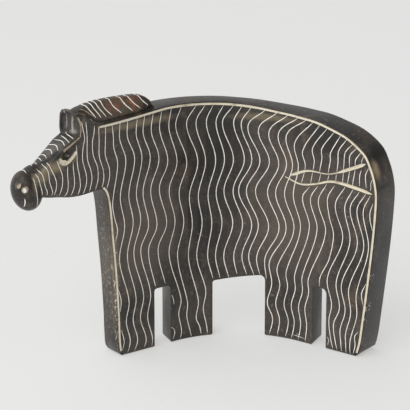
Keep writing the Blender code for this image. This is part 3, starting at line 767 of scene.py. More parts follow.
NECK_STRIPES = (
    ((-61.2, 100.4), (-61.4, 94.0), (-61.5, 88.5), (-59.7, 82.7), (-59.6, 78.9), (-61.0, 74.1)),
    ((-64.5, 101.4), (-64.4, 94.9), (-64.4, 88.5), (-62.5, 82.0), (-62.5, 77.9), (-63.4, 75.2)),
    ((-66.5, 101.9), (-66.8, 98.7), (-67.6, 95.2), (-67.3, 89.7), (-65.3, 84.0), (-65.2, 78.9),
     (-66.5, 74.9)),
    ((-70.6, 104.2), (-70.1, 98.0), (-70.1, 88.5), (-68.5, 83.3), (-68.1, 79.5), (-69.4, 74.6)),
    ((-72.6, 104.6), (-72.0, 101.3), (-71.3, 97.4), (-72.1, 93.6), (-72.4, 88.5), (-70.8, 82.1),
     (-70.8, 78.2), (-72.4, 74.2)),
    ((-75.2, 95.4), (-75.1, 92.6), (-74.9, 87.0), (-74.0, 82.0), (-73.7, 77.6), (-74.9, 74.4)),
    ((-76.9, 88.6), (-76.9, 86.0), (-76.5, 82.0), (-76.6, 78.2), (-78.1, 74.7)),
    ((-79.6, 87.4), (-79.6, 83.0), (-79.4, 80.0), (-79.9, 76.6), (-81.3, 74.9)),
    ((-84.6, 90.6), (-83.6, 88.1), (-82.1, 83.7), (-82.3, 79.5), (-83.7, 75.8)),
    ((-88.6, 90.6), (-87.6, 88.1), (-85.2, 82.7), (-85.0, 79.5), (-86.1, 76.4)),
    ((-90.1, 89.6), (-88.7, 86.5), (-88.1, 82.1), (-86.8, 77.8), (-87.3, 76.6)),
    ((-92.7, 88.2), (-91.3, 85.6), (-90.3, 81.1), (-89.3, 78.2), (-89.6, 77.0)),
    ((-93.9, 86.6), (-92.8, 83.0), (-91.7, 78.6), (-91.7, 77.4)),
    ((-95.6, 85.4), (-95.2, 83.2), (-94.7, 78.8), (-93.9, 74.5), (-93.9, 73.0)),
)
tail_top = [(p.x / MM, p.y / MM) for p in smooth(TAIL_UPPER)]
tail_foot = [(p.x / MM, p.y / MM) for p in smooth(TAIL_LOWER)]
for top, x1, z1, x2, z2, end in ABOVE_TAIL:
    reach = height_on(tail_top, end) + TAIL_CLEARANCE
    stripes.append([(top, height_on(top_border, top)), (x1, z1), (x2, z2), (end, reach)])
for top, end in IN_TAIL:
    begin = (top, height_on(tail_top, top) - TAIL_CLEARANCE)
    stripes.append([begin, (end, height_on(tail_foot, end) + TAIL_CLEARANCE)])
for row in BELOW_TAIL:
    start = height_on(tail_foot, row[0]) - 2 * TAIL_CLEARANCE
    stripes.append(swing_points(row, ALL_SWINGS[2:], start=start, end=FOOT_END))
stripes += [list(points) for points in TAIL_SIDE + SHORT_STRIPES]
print("stripes on the body:", len(stripes), "and on the neck and cheek:", len(NECK_STRIPES))

# %% [markdown]
# ## Cutting on curved places
#
# On the flat face the line's place is known. On the mane, the nose and the muzzle it is found by
# sending a ray at the flat shape, from the side, from above or aslant, and the tool follows the surface
# that the ray meets. A Shrinkwrap modifier does the same for a curve, but a ray also gives the
# surface's direction. A hand is never quite even, so each place gets a slightly different width, from
# a seeded draw.

# %% Find the surface under a line
STRIPE_STEP = 1.5 * MM
shape = BVHTree.FromPolygons(
    [vert.co for vert in zebra.data.vertices], [face.vertices for face in zebra.data.polygons]
)
print("faces that a ray can meet:", len(zebra.data.polygons))
FAR_AWAY = 200 * MM
FROM_NEAR = (Vector((0, 1, 0)), Vector((0, 0, 1)))
FROM_FAR = (Vector((0, -1, 0)), Vector((0, 0, 1)))
FROM_ABOVE = (Vector((0, 0, -1)), Vector((0, 1, 0)))
FROM_NEAR_ABOVE = (Vector((0, 1, -1)) / sqrt(2), Vector((0, 1, 1)) / sqrt(2))
FROM_FAR_ABOVE = (Vector((0, -1, -1)) / sqrt(2), Vector((0, -1, 1)) / sqrt(2))


def laid_on(run, view):
    """The places of a run on the surface, seen in a direction, and the surface's directions there."""
    direction, upwards = view
    places, normals = [], []
    for point in run:
        origin = Vector((point.x, 0, 0)) + upwards * point.y - direction * FAR_AWAY
        place, normal = shape.ray_cast(origin, direction)[:2]
        if place is not None:
            places.append(place)
            normals.append(normal)
    return places, normals


NEIGHBOURS = 2
THIN_ENDS, END_STEPS = (0.35, 0.35), 2
HAND_SEED, LIGHT_HAND, FIRM_HAND = 7, (0.86, 1.12), (0.93, 1.05)
dice = random.Random(HAND_SEED)


def rounded(normals):
    """Each direction averaged with its neighbours, so that the tool turns evenly."""
    near = [normals[max(0, i - NEIGHBOURS):i + NEIGHBOURS + 1] for i in range(len(normals))]
    return [sum(some, Vector()).normalized() for some in near]


def stroke(points, view, width, depth, ends=THIN_ENDS, step=STRIPE_STEP):
    """One scribed line through points in millimetres, with its two ends drawn thinner."""
    places, normals = laid_on(smooth(points, step), view)
    begin, end = ends
    last = len(places) - 1
    taper = []
    for i in range(last + 1):
        share = min(1.0, begin + i * (1 - begin) / END_STEPS, end + (last - i) * (1 - end) / END_STEPS)
        taper.append(share * dice.uniform(*LIGHT_HAND))
    return scribe(places, rounded(normals), width / 2, depth, taper)


# %% [markdown]
# ## Border, tail, eyelids and brows
#
# These are wider than the stripes, cut with a gouge and not a point, and they show the bright stone
# best. The border runs just inside the edge of the slab. The tail's two strokes swell and thin out, so
# each stroke has a list of shares of its width along its way. They lie on the flat of the face, so
# here the tool needs no ray. The brow and the ear's edge are shallow and tan.

# %% A gouged line on the flat
EVEN = ((0.0, 1.0), (1.0, 1.0))
GOUGE_STEP = 1.0 * MM


def flat_stroke(points, side, width, depth, shares=EVEN, step=GOUGE_STEP):
    """A gouged line on the flat of the near or the far face. Shares swell and thin it along its way."""
    run = smooth(points, step) if isinstance(points[0], tuple) else points
    y = seen_from(side, 0.0)
    places = [Vector((point.x, y, point.y)) for point in run]
    normals = [Vector((0, -side, 0))] * len(places)
    last = len(places) - 1
    taper = [height_on(shares, i / last) * dice.uniform(*FIRM_HAND) for i in range(last + 1)]
    return scribe(places, normals, width / 2, depth, taper)


# %% The gouged lines
BORDER_INSET, BORDER_STEP = 0.98 * MM, 1.2 * MM
EYELID = ((-82.8, 91.2), (-82.6, 90.1), (-81.5, 89.2), (-79.9, 88.7), (-77.8, 90.0), (-75.3, 92.7))
BROW = ((-81.4, 93.8), (-77.6, 95.9), (-73.5, 98.3))
EAR_EDGE = ((-73.5, 98.2), (-73.1, 100.5), (-73.1, 102.8), (-73.7, 104.8), (-74.5, 106.6))
UPPER_SWELLS = (
    (0.0, 0.4), (0.06, 1.1), (0.25, 0.6), (0.45, 0.3), (0.6, 0.3), (0.7, 1.1), (0.95, 1.2), (1.0, 0.2),
)
LOWER_SWELLS = ((0.0, 0.3), (0.1, 0.6), (0.4, 0.7), (0.6, 1.0), (0.8, 1.35), (0.94, 1.3), (1.0, 0.2))
HOOK = ((0.0, 1.1), (0.12, 1.7), (0.3, 1.6), (0.45, 1.15), (0.9, 1.1), (1.0, 0.8))
SLIVER = ((0.0, 1.2), (0.3, 0.9), (1.0, 0.6))
BROAD_MIDDLE = ((0.0, 0.8), (0.45, 0.9), (0.65, 1.7), (0.85, 1.7), (1.0, 0.8))
BORDER_CUT = {"width": 1.05 * MM, "depth": 0.35 * MM}
UPPER_TAIL_CUT = {"width": 1.3 * MM, "depth": 0.5 * MM, "shares": UPPER_SWELLS}
LOWER_TAIL_CUT = {"width": 1.2 * MM, "depth": 0.5 * MM, "shares": LOWER_SWELLS}
EYELID_CUT = {"width": 1.6 * MM, "depth": 0.6 * MM, "shares": HOOK, "step": 0.6 * MM}
BROW_CUT = {"width": 1.2 * MM, "depth": 0.35 * MM, "shares": SLIVER}
EAR_EDGE_CUT = {"width": 0.8 * MM, "depth": 0.2 * MM, "shares": BROAD_MIDDLE}
for side in (NEAR, FAR):
    edges = [inset(smooth(line, BORDER_STEP), BORDER_INSET) for line in (CHEST_LINE[1:], BACK_LINE[:-1])]
    borders = [flat_stroke(run, side, **BORDER_CUT) for run in edges]
    upper = flat_stroke(TAIL_UPPER, side, **UPPER_TAIL_CUT)
    lower = flat_stroke(TAIL_LOWER, side, **LOWER_TAIL_CUT)
    lid = flat_stroke(EYELID, side, **EYELID_CUT)
    brow = flat_stroke(BROW, side, **BROW_CUT)
    ear_edge = flat_stroke(EAR_EDGE, side, **EAR_EDGE_CUT)
    combine(zebra, "DIFFERENCE", [gather("border", borders, GOUGED)])
    combine(zebra, "DIFFERENCE", [gather("tail", [upper], GOUGED)])
    combine(zebra, "DIFFERENCE", [gather("tail", [lower], GOUGED)])
    combine(zebra, "DIFFERENCE", [gather("eyelid", [lid], GOUGED)])
    combine(zebra, "DIFFERENCE", [gather("brow", [brow, ear_edge], TANNED)])
print("faces after the gouge:", len(zebra.data.polygons))

# %% [markdown]
# ## The fine lines
#
# Drawn lines in the colour alone would look flat when the light comes from the side, so each stripe is
# cut. All the stripes that don't touch each other are cut at once, because one Boolean with many rods
# is much quicker than many Booleans with one. The back of the slab isn't seen in the photo and is
# plainer: there every second stripe is cut, and the two short marks by the slot are left out.

# %% Cut the stripes
STRIPE_CUT = {"width": 0.38 * MM, "depth": 0.11 * MM}
CHEEK_CUT = {"width": 0.33 * MM, "depth": 0.15 * MM, "step": 0.6 * MM}
near_lines = [stroke(points, FROM_NEAR, **STRIPE_CUT) for points in [*stripes, *SLOT_MARKS]]
combine(zebra, "DIFFERENCE", [gather("stripes", near_lines, SCRIBED)])
cheek_lines = [stroke(points, FROM_NEAR, **CHEEK_CUT) for points in NECK_STRIPES]
combine(zebra, "DIFFERENCE", [gather("neck", cheek_lines, SCRIBED)])
far_lines = [stroke(points, FROM_FAR, **STRIPE_CUT) for points in stripes[::2]]
far_lines += [stroke(points, FROM_FAR, **CHEEK_CUT) for points in NECK_STRIPES[::2]]
combine(zebra, "DIFFERENCE", [gather("far_stripes", far_lines, SCRIBED)])
print("faces after the stripes:", len(zebra.data.polygons))

# %% [markdown]
# ## Lines over the round forms
#
# The mane's cuts start on its crest and run down its slope, and a groove with two fine strands runs
# along its foot. A ray from the side would glance off that slope, so the rays come aslant, from near
# and above. The far side is the same seen from far and above. The nose is striped across, so its rays
# come straight down. A stroke of the mane has its start, middle and end along the slab and the height
# of its end. A stroke of the nose has its far end, its near end, the depth where it ends and its bend.

# %% The strokes of the mane
MANE_STROKES = (
    (-68.7, -67.9, -65.6, 103.8), (-66.1, -65.7, -62.9, 103.6), (-64.0, -63.4, -60.0, 103.8),
    (-61.4, -60.8, -57.2, 104.2), (-57.5, -56.4, -52.6, 104.4), (-52.5, -50.9, -47.1, 104.2),
    (-48.9, -46.9, -43.3, 104.8), (-43.9, -42.1, -39.4, 105.6),
)
MANE_START_DEPTH = MID / MM + 0.7
MANE_MIDDLE = (2.1, 108.2)
MANE_LOW_DEPTH = 1.3
MANE_FOOT_LINE = (
    (-72.4, 2.7, 108.1), (-70.3, 1.6, 107.4), (-68.2, 0.5, 105.6), (-66.6, 0.2, 104.2),
    (-64.6, 0.4, 102.9), (-58.0, 1.1, 102.4), (-51.0, 1.1, 102.8), (-44.0, 1.1, 103.2),
    (-38.0, 1.7, 103.9), (-36.6, 2.6, 104.2),
)
STRANDS, STRAND_POINTS = (-1.0, 1.3), 5
MANE_CUT = {"width": 0.46 * MM, "depth": 0.3 * MM, "ends": (1.0, 0.5), "step": 0.7 * MM}
MANE_FOOT_CUT = {"width": 1.1 * MM, "depth": 0.5 * MM, "ends": (0.4, 0.4), "step": 1.0 * MM}
STRAND_CUT = {"width": 0.34 * MM, "depth": 0.1 * MM}


def aslant(x, y, z, shift):
    """A place given by depth and height, as it is seen from near and above, or from far and above."""
    return (x, (y + z) / sqrt(2) + shift / sqrt(2))


for view, shift in ((FROM_NEAR_ABOVE, 0.0), (FROM_FAR_ABOVE, -SLAB / MM)):
    mane_lines = []
    for start, middle, end, low in MANE_STROKES:
        crest = aslant(start, MANE_START_DEPTH, mane_top(start), shift)
        line = [crest, aslant(middle, *MANE_MIDDLE, shift), aslant(end, MANE_LOW_DEPTH, low, shift)]
        mane_lines.append(stroke(line, view, **MANE_CUT))
    combine(zebra, "DIFFERENCE", [gather("mane_lines", mane_lines, SCRIBED)])
    foot = [aslant(*place, shift) for place in MANE_FOOT_LINE]
    combine(zebra, "DIFFERENCE", [gather("mane_foot", [stroke(foot, view, **MANE_FOOT_CUT)], STONE)])
    rows = [[(x, seen + rise) for x, seen in foot[:STRAND_POINTS]] for rise in STRANDS]
    strands = [stroke(row, view, **STRAND_CUT) for row in rows]
    combine(zebra, "DIFFERENCE", [gather("strands", strands, TANNED)])
print("faces with the mane cut:", len(zebra.data.polygons))

# %% The strokes of the nose, the mouth and the scratches
NOSE_STROKES = (
    (-75.6, -76.4, 0.2, 0.1), (-77.2, -78.5, 0.2, 0.2), (-79.9, -80.4, 0.6, 1.0),
    (-82.5, -83.1, 1.3, 1.1), (-84.8, -85.0, 2.7, 1.0), (-87.2, -87.3, 3.4, 0.7),
    (-88.6, -89.2, 4.2, 0.3), (-91.0, -91.3, 4.2, 0.2), (-93.3, -93.7, 4.2, 0.1),
    (-97.4, -97.1, 2.8, 0.0),
)
FOREHEAD_START, FOREHEAD_FAR_DEPTH, NOSE_FAR_DEPTH = -78.0, 8.0, 9.2
NOSE_CUT = {"width": 0.36 * MM, "depth": 0.17 * MM, "ends": (0.6, 0.5), "step": 0.7 * MM}
MOUTH = ((-99.7, 77.6), (-99.3, 75.8), (-99.1, 73.6))
MOUTH_CUT = {"width": 0.42 * MM, "depth": 0.12 * MM, "ends": (0.4, 0.4), "step": 0.7 * MM}
SCRATCHES = (
    ((25.1, 2.6), (30.8, 2.2)), ((26.7, 3.3), (28.5, 3.2)), ((41.9, 5.6), (42.8, 4.7), (42.4, 1.8)),
)
SCRATCH_CUT = {"width": 0.22 * MM, "depth": 0.05 * MM, "step": 0.8 * MM}
nose_lines = []
for far_end, near_end, near_depth, bend in NOSE_STROKES:
    far_depth = FOREHEAD_FAR_DEPTH if far_end > FOREHEAD_START else NOSE_FAR_DEPTH
    middle = ((far_end + near_end) / 2 + bend, (far_depth + near_depth) / 2)
    line = [(far_end, far_depth), middle, (near_end, near_depth)]
    nose_lines.append(stroke(line, FROM_ABOVE, **NOSE_CUT))
combine(zebra, "DIFFERENCE", [gather("nose_lines", nose_lines, SCRIBED)])
combine(zebra, "DIFFERENCE", [gather("mouth", [stroke(MOUTH, FROM_NEAR, **MOUTH_CUT)], SCRIBED)])
scratches = [stroke(points, FROM_NEAR, **SCRATCH_CUT) for points in SCRATCHES]
combine(zebra, "DIFFERENCE", [gather("scratches", scratches, SCRIBED)])
print("faces of the whole carving:", len(zebra.data.polygons))

# %% [markdown]
# ## Bow the slab
#
# Now the finished flat carving is bowed. A Simple Deform modifier bends too, but it bends the whole
# slab, and this one is straight beyond the bow. The flat coordinates are kept first, as a UV map with
# one unit for each metre and a depth for each point, so that the finish can still be told where the
# cheek or the rump is.

# %% Bow it and set it on the floor
CREASE = radians(28.0)
mesh = zebra.data
drawing = mesh.uv_layers.new(name="carved_face")
for loop in mesh.loops:
    place = mesh.vertices[loop.vertex_index].co
    drawing.data[loop.index].uv = (place.x, place.z)
depth_of = mesh.attributes.new("depth", "FLOAT", "POINT")
for vert in mesh.vertices:
    depth_of.data[vert.index].value = vert.co.y
    vert.co = bowed(vert.co)
places = [vert.co for vert in mesh.vertices]
low = Vector([min(place[axis] for place in places) for axis in range(3)])
high = Vector([max(place[axis] for place in places) for axis in range(3)])
node_low, node_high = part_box("zebra")
shift = (node_low + node_high) / 2 - (low + high) / 2
shift.z = node_low.z - low.z
mesh.transform(Matrix.Translation(shift))
mesh.shade_smooth()
mesh.set_sharp_from_angle(angle=CREASE)
shelf.objects.unlink(zebra)
bpy.context.scene.collection.objects.link(zebra)
zebra.hide_render = False
print("sides of the carving, mm:", [round(side / MM, 2) for side in high - low])

# %% [markdown]
# ## Finish
#
# Waxed soapstone is nearly black, a little brown, mottled, with a satin sheen. Where the wax has been
# rubbed off it is tan. A scribed line shows the dry, bright stone. The wax could be a clear coat over a
# dull stone, and here it is one, because the photo shows soft reflections over a broken colour.

# %% Node helpers
FLOAT, COLOUR, VECTOR = "NodeSocketFloat", "NodeSocketColor", "NodeSocketVector"


def new_group(name, inputs, outputs):
    """An empty shader node group with named sockets."""
    group = bpy.data.node_groups.new(name, "ShaderNodeTree")
    for title, kind, value in inputs:
        group.interface.new_socket(title, in_out="INPUT", socket_type=kind).default_value = value
    for title, kind in outputs:
        group.interface.new_socket(title, in_out="OUTPUT", socket_type=kind)
    return group, group.nodes.new("NodeGroupInput").outputs, group.nodes.new("NodeGroupOutput").inputs


def feed(tree, socket, value):
    """Links a socket, or sets its value."""
    if isinstance(value, bpy.types.NodeSocket):
        tree.links.new(value, socket)
    else:
        socket.default_value = value


def add(tree, kind, sockets, **settings):
    """A node with its settings, and a value or a link for each named socket."""
    node = tree.nodes.new(kind)
    for name, value in settings.items():
        setattr(node, name, value)
    for name, value in sockets.items():
        feed(tree, node.inputs[name], value)
    return node


def work_out(tree, operation, first, second):
    """A sum of two values or sockets."""
    return add(tree, "ShaderNodeMath", {0: first, 1: second}, operation=operation).outputs[0]


def blend(tree, share, first, second):
    """Two colours mixed. The Mix node keeps its colour sockets at places 6 and 7, and puts out at 2."""
    return add(tree, "ShaderNodeMix", {0: share, 6: first, 7: second}, data_type="RGBA").outputs[2]


def between(tree, value, low, high, to_low=0.0, to_high=1.0):
    """The value taken from one range to another, and kept inside it."""
    sockets = {"Value": value, "From Min": low, "From Max": high, "To Min": to_low, "To Max": to_high}
    return add(tree, "ShaderNodeMapRange", sockets, interpolation_type="SMOOTHSTEP").outputs["Result"]


def noise(tree, place, scale, detail=4.0, roughness=0.55, distortion=0.0):
    sockets = {"Vector": place, "Scale": scale, "Detail": detail}
    sockets |= {"Roughness": roughness, "Distortion": distortion}
    return add(tree, "ShaderNodeTexNoise", sockets).outputs["Fac"]


def use(tree, group, **sockets):
    """A group placed in a material, with its own values."""
    node = tree.nodes.new("ShaderNodeGroup")
    node.node_tree = group
    for name, value in sockets.items():
        feed(tree, node.inputs[name], value)
    return node.outputs


def stretched(tree, place, scale):
    return add(tree, "ShaderNodeMapping", {"Vector": place, "Scale": scale}).outputs[0]


def turned_about(tree, place, turn):
    """The place turned about the depth, so that a stretched pattern runs aslant on the face."""
    node = add(tree, "ShaderNodeVectorRotate", {"Vector": place, "Angle": turn}, rotation_type="Y_AXIS")
    return node.outputs[0]


# %% [markdown]
# ## The stone's own colour
#
# The stone is clouded over centimetres, drifted over millimetres, and grained and speckled below
# that. Four noises of four sizes give it, each one mixing in one more colour. One noise with much
# detail would look like smoke. It is a group, so that its four colours stand together in one place.

# %% Mottled stone
CLOUD_LIMITS, DRIFT_LIMITS = (0.38, 0.66), (0.5, 0.72)
GRAIN_LIMITS, SPECK_LIMITS = (0.35, 0.65), (0.56, 0.72)
mottled, given, made = new_group(
    "mottled_stone",
    [("Dark", COLOUR, (0, 0, 0, 1)), ("Middle", COLOUR, (0, 0, 0, 1)), ("Warm", COLOUR, (0, 0, 0, 1)),
     ("Pale", COLOUR, (0, 0, 0, 1))],
    [("Colour", COLOUR), ("Clouds", FLOAT), ("Grain", FLOAT)],
)
place = add(mottled, "ShaderNodeTexCoord", {}).outputs["Object"]
clouds = noise(mottled, place, scale=38.0, detail=5.0, roughness=0.6, distortion=0.4)
tall = stretched(mottled, place, (1.0, 1.0, 0.5))
drifts = noise(mottled, tall, scale=130.0, roughness=0.65, distortion=0.8)
grain = noise(mottled, place, scale=900.0, detail=3.0, roughness=0.7)
cloudy = between(mottled, clouds, *CLOUD_LIMITS)
colour = blend(mottled, cloudy, given["Dark"], given["Middle"])
colour = blend(mottled, between(mottled, drifts, *DRIFT_LIMITS, to_high=0.8), colour, given["Warm"])
colour = blend(mottled, between(mottled, grain, *GRAIN_LIMITS, to_high=0.5), colour, given["Dark"])
specks = noise(mottled, place, scale=620.0, detail=5.0, roughness=0.75, distortion=0.5)
colour = blend(mottled, between(mottled, specks, *SPECK_LIMITS, to_high=0.75), colour, given["Pale"])
for name, socket in (("Colour", colour), ("Clouds", cloudy), ("Grain", grain)):
    mottled.links.new(socket, made[name])
print("nodes of the mottled stone:", len(mottled.nodes))

# %% [markdown]
# ## Patches and scratches
#
# Handling rubs the wax off an edge or a cheek. Other patches are painted shade in the slots, by the
# eye, along the nose and on the rump, and painted sheen and highlights on the face, the forehead, the
# ears, the eye and the muzzle. Such a place is a patch: an ellipsoid on the flat drawing of the carving,
# whose limit is made ragged by a noise. Painting by hand would do as well, but a patch can be read and
# moved. Fine scratches are a noise stretched until only thin lines pass a level, and a second noise lets
# them through in places.

# %% A patch on the drawing
PATCH_LIMITS = (0.5, 1.35)
patch, given, made = new_group(
    "wear_and_painted_light_patch",
    [("Centre", VECTOR, (0, 0, 0)), ("Size", VECTOR, (1, 1, 1)), ("Raggedness", FLOAT, 0.6)],
    [("Mask", FLOAT)],
)
drawn = add(patch, "ShaderNodeUVMap", {}, uv_map="carved_face").outputs["UV"]
depth = add(patch, "ShaderNodeAttribute", {}, attribute_name="depth").outputs["Fac"]
drawn = add(patch, "ShaderNodeSeparateXYZ", {"Vector": drawn}).outputs
drawn = add(patch, "ShaderNodeCombineXYZ", {"X": drawn["X"], "Y": drawn["Y"], "Z": depth}).outputs[0]
offset = add(patch, "ShaderNodeVectorMath", {0: drawn, 1: given["Centre"]}, operation="SUBTRACT")
scaled = add(patch, "ShaderNodeVectorMath", {0: offset.outputs[0], 1: given["Size"]}, operation="DIVIDE")
reach = add(patch, "ShaderNodeVectorMath", {0: scaled.outputs[0]}, operation="LENGTH").outputs["Value"]
place = add(patch, "ShaderNodeTexCoord", {}).outputs["Object"]
ragged = noise(patch, place, scale=260.0, detail=5.0, roughness=0.65)
ragged = work_out(patch, "MULTIPLY", ragged, given["Raggedness"])
reach = work_out(patch, "ADD", reach, ragged)
mask = between(patch, reach, *PATCH_LIMITS, to_low=1.0, to_high=0.0)
patch.links.new(mask, made["Mask"])
print("nodes of a worn patch:", len(patch.nodes))

# %% Fine scratches
THIN_LINES = (40.0, 40.0, 1600.0)
FIRST_LEVEL, LEVEL_DROP, LEVEL_EDGE = 0.86, 0.2, 0.03
PLACE_LIMITS = (0.5, 0.6)
scratched, given, made = new_group(
    "fine_scratches", [("Turn", FLOAT, 0.0), ("Amount", FLOAT, 0.5)], [("Mask", FLOAT)],
)
place = add(scratched, "ShaderNodeTexCoord", {}).outputs["Object"]
turned = turned_about(scratched, place, given["Turn"])
lines = stretched(scratched, turned, THIN_LINES)
streaks = noise(scratched, lines, scale=1.0, detail=2.0, roughness=0.5)
places = noise(scratched, place, scale=90.0, detail=2.0, roughness=0.5)
drop = work_out(scratched, "MULTIPLY", given["Amount"], LEVEL_DROP)
level = work_out(scratched, "SUBTRACT", FIRST_LEVEL, drop)
thin = between(scratched, streaks, level, work_out(scratched, "ADD", level, LEVEL_EDGE))
mask = work_out(scratched, "MULTIPLY", thin, between(scratched, places, *PLACE_LIMITS))
scratched.links.new(mask, made["Mask"])
print("nodes of the fine scratches:", len(scratched.nodes))

# %% [markdown]
# ## The waxed stone
#
# The mottled stone comes first, then the patches that the photo shows: some rubbed and stained, and some
# painted shade, sheen, highlights and reflections. Then come the rusty and olive streaks that follow the
# cuts of the mane, the small pale chips along the edges, and the scratches. A row gives where a patch is
# on the drawing, how wide and high it is, how deep it lies and how far it reaches in depth, all in
# millimetres, then its strength and its tint: a stain on some rows, painted light on others.

# %% The stone, its stains and its painted shade and highlights
waxed, scribed, gouged, tanned = zebra.data.materials
for material in (waxed, scribed, gouged, tanned):
    material.use_nodes = True
tree = waxed.node_tree
shader = tree.nodes["Principled BSDF"].inputs
stone = use(
    tree, mottled, Dark=(0.018, 0.0155, 0.0135, 1), Middle=(0.078, 0.064, 0.052, 1),
    Warm=(0.125, 0.090, 0.062, 1), Pale=(0.24, 0.20, 0.15, 1),
)
# Of these colours the near black is painted shade, the light grey a painted highlight and the sheen grey a
# painted sheen. Tan is rubbed wax, and on the muzzle a painted reflection. Brown is the stone's browner
# tone, and on the broad face also painted sheen.
TAN, RUST, OLIVE = (0.38, 0.30, 0.18, 1), (0.30, 0.11, 0.06, 1), (0.15, 0.125, 0.075, 1)
PAINTED_HIGHLIGHT, BROWN, PAINTED_SHADE = (0.55, 0.55, 0.53, 1), (0.135, 0.108, 0.084, 1), (0.006, 0.006, 0.006, 1)
SHEEN, PALE, DUSTY = (0.16, 0.15, 0.14, 1), (0.62, 0.58, 0.50, 1), (0.30, 0.28, 0.25, 1)
ON_FACE, UNDER_FACE = (0.0, 2.5), (2.0, 3.0)
ON_EDGE, IN_SLOT, ON_RUMP = (5.0, 6.0), (6.0, 6.0), (7.0, 6.0)
PATCHES_OF_WEAR_AND_PAINTED_LIGHT = (
    # Two broad lighter brown zones: the stone's browner tone, and painted sheen where the bowed face
    # catches the light.
    ((24.0, 56.0), (28.0, 42.0), ON_FACE, 0.62, BROWN), ((-42.0, 54.0), (26.0, 34.0), ON_FACE, 0.55, BROWN),
    # Painted shade on the face, where the bowed stone reflects less light.
    ((-8.0, 88.0), (20.0, 24.0), ON_FACE, 0.65, PAINTED_SHADE), ((43.0, 93.0), (12.0, 7.0), ON_FACE, 0.6, PAINTED_SHADE),
    # A brown tone on the chest end, then a painted sheen on the forehead.
    ((-58.5, 45.0), (4.0, 22.0), (5.0, 5.0), 0.4, BROWN), ((-86.0, 95.0), (10.0, 4.5), ON_EDGE, 0.6, SHEEN),
    # A painted sheen on the end of the front foot, then tan on the cheek.
    ((-62.0, 3.0), (9.0, 4.0), ON_EDGE, 0.3, SHEEN), ((-91.5, 85.4), (5.0, 4.2), ON_FACE, 0.5, TAN),
    # A painted reflection on the near side of the muzzle, then tan on the cheek.
    ((-94.8, 84.0), (2.0, 3.5), UNDER_FACE, 0.65, TAN), ((-88.0, 87.6), (5.0, 3.0), ON_FACE, 0.4, TAN),
    ((-84.6, 88.0), (4.6, 3.4), ON_FACE, 0.5, TAN), ((-76.5, 90.0), (3.0, 2.0), ON_FACE, 0.3, TAN),
    ((-71.4, 104.4), (1.8, 4.0), UNDER_FACE, 0.55, TAN),
    # Painted shade beside the eye and along the side of the bridge of the nose.
    ((-84.8, 93.0), (4.6, 2.6), (0.8, 3.0), 0.95, PAINTED_SHADE),
    ((-91.5, 91.0), (6.0, 2.4), UNDER_FACE, 0.9, PAINTED_SHADE),
    # A painted glint on the eyeball.
    ((-79.2, 91.7), (0.8, 0.5), (0.0, 1.2), 0.8, PAINTED_HIGHLIGHT),
    ((-45.0, 98.9), (24.0, 2.4), ON_FACE, 0.38, TAN), ((12.0, 96.2), (20.0, 2.2), ON_FACE, 0.35, TAN),
    # Painted shade on the rim of the rump, then a tan patch by the end of the tail.
    ((59.5, 87.5), (5.5, 5.0), ON_RUMP, 0.85, PAINTED_SHADE), ((63.0, 83.2), (2.8, 9.0), (1.8, 2.4), 0.8, TAN),
    # Painted shade inside the two slots between the legs.
    ((-29.0, 12.0), (3.0, 20.0), IN_SLOT, 0.7, PAINTED_SHADE), ((33.5, 12.0), (3.0, 20.0), IN_SLOT, 0.6, PAINTED_SHADE),
    # Painted shade on the end of the rump, deepest by the end of the tail.
    ((62.0, 42.0), (6.0, 60.0), ON_RUMP, 0.75, PAINTED_SHADE), ((65.0, 74.5), (3.0, 1.6), (3.0, 6.0), 0.8, PAINTED_SHADE),
    # A tan rub by the chest edge, then painted highlights in the two ear hollows and at the foot of the
    # ears.
    ((-57.5, 40.0), (3.0, 26.0), ON_FACE, 0.25, TAN), ((-74.5, 103.2), (0.8, 4.6), (3.7, 1.0), 0.9, PAINTED_HIGHLIGHT),
    ((-75.0, 103.2), (0.8, 4.6), (7.2, 1.0), 0.8, PAINTED_HIGHLIGHT), ((-74.6, 99.9), (2.6, 1.2), (3.4, 2.4), 0.4, PAINTED_HIGHLIGHT),
    # A painted reflection low on the near side of the muzzle.
    ((-95.2, 81.5), (1.8, 4.5), (0.5, 3.0), 0.45, TAN),
)


def patch_at(place, size, depths, **settings):
    """The mask of a patch, from its place, size and depths on the drawing in millimetres."""
    (x, z), (wide, high), (deep, reach) = place, size, depths
    centre, half_size = Vector((x, z, deep)) * MM, Vector((wide, high, reach)) * MM
    return use(tree, patch, Centre=centre, Size=half_size, **settings)["Mask"]


colour = stone["Colour"]
for spot, size, depths, strength, tint in PATCHES_OF_WEAR_AND_PAINTED_LIGHT:
    mask = patch_at(spot, size, depths)
    colour = blend(tree, work_out(tree, "MULTIPLY", mask, strength), colour, tint)
print("patches of wear, stains and painted light:", len(PATCHES_OF_WEAR_AND_PAINTED_LIGHT))

# %% The streaks, chips and scratches of the waxed stone
STROKE_TURN, STREAK_GRAIN = 0.885, (900.0, 450.0, 210.0)
STREAKED = (
    ((-56.0, 106.5), (24.0, 7.0), (2.5, 4.5), (0.56, 0.44), 0.6, OLIVE),
    ((-51.0, 107.5), (12.0, 5.5), (2.5, 4.5), (0.47, 0.57), 0.95, RUST),
)
CHIPPED = (
    ((-56.8, 28.0), (2.0, 30.0), (0.6, 2.0), 0.8), ((61.0, 22.3), (1.8, 2.4), (1.2, 2.0), 0.9),
    ((61.9, 37.3), (1.4, 2.4), (0.4, 2.0), 0.9), ((60.1, 16.4), (1.4, 2.0), (0.2, 1.6), 0.9),
    ((-58.5, 40.0), (4.0, 44.0), ON_EDGE, 0.22),
)
CHIP_LIMITS, CHIP_RAGGEDNESS = (0.55, 0.61), 0.3
SCRATCH_STRENGTH, SCRATCH_DEPTH = 0.35, 0.6
place = add(tree, "ShaderNodeTexCoord", {}).outputs["Object"]
along_strokes = stretched(tree, turned_about(tree, place, STROKE_TURN), STREAK_GRAIN)
streaks = noise(tree, along_strokes, scale=1.0, roughness=0.65)
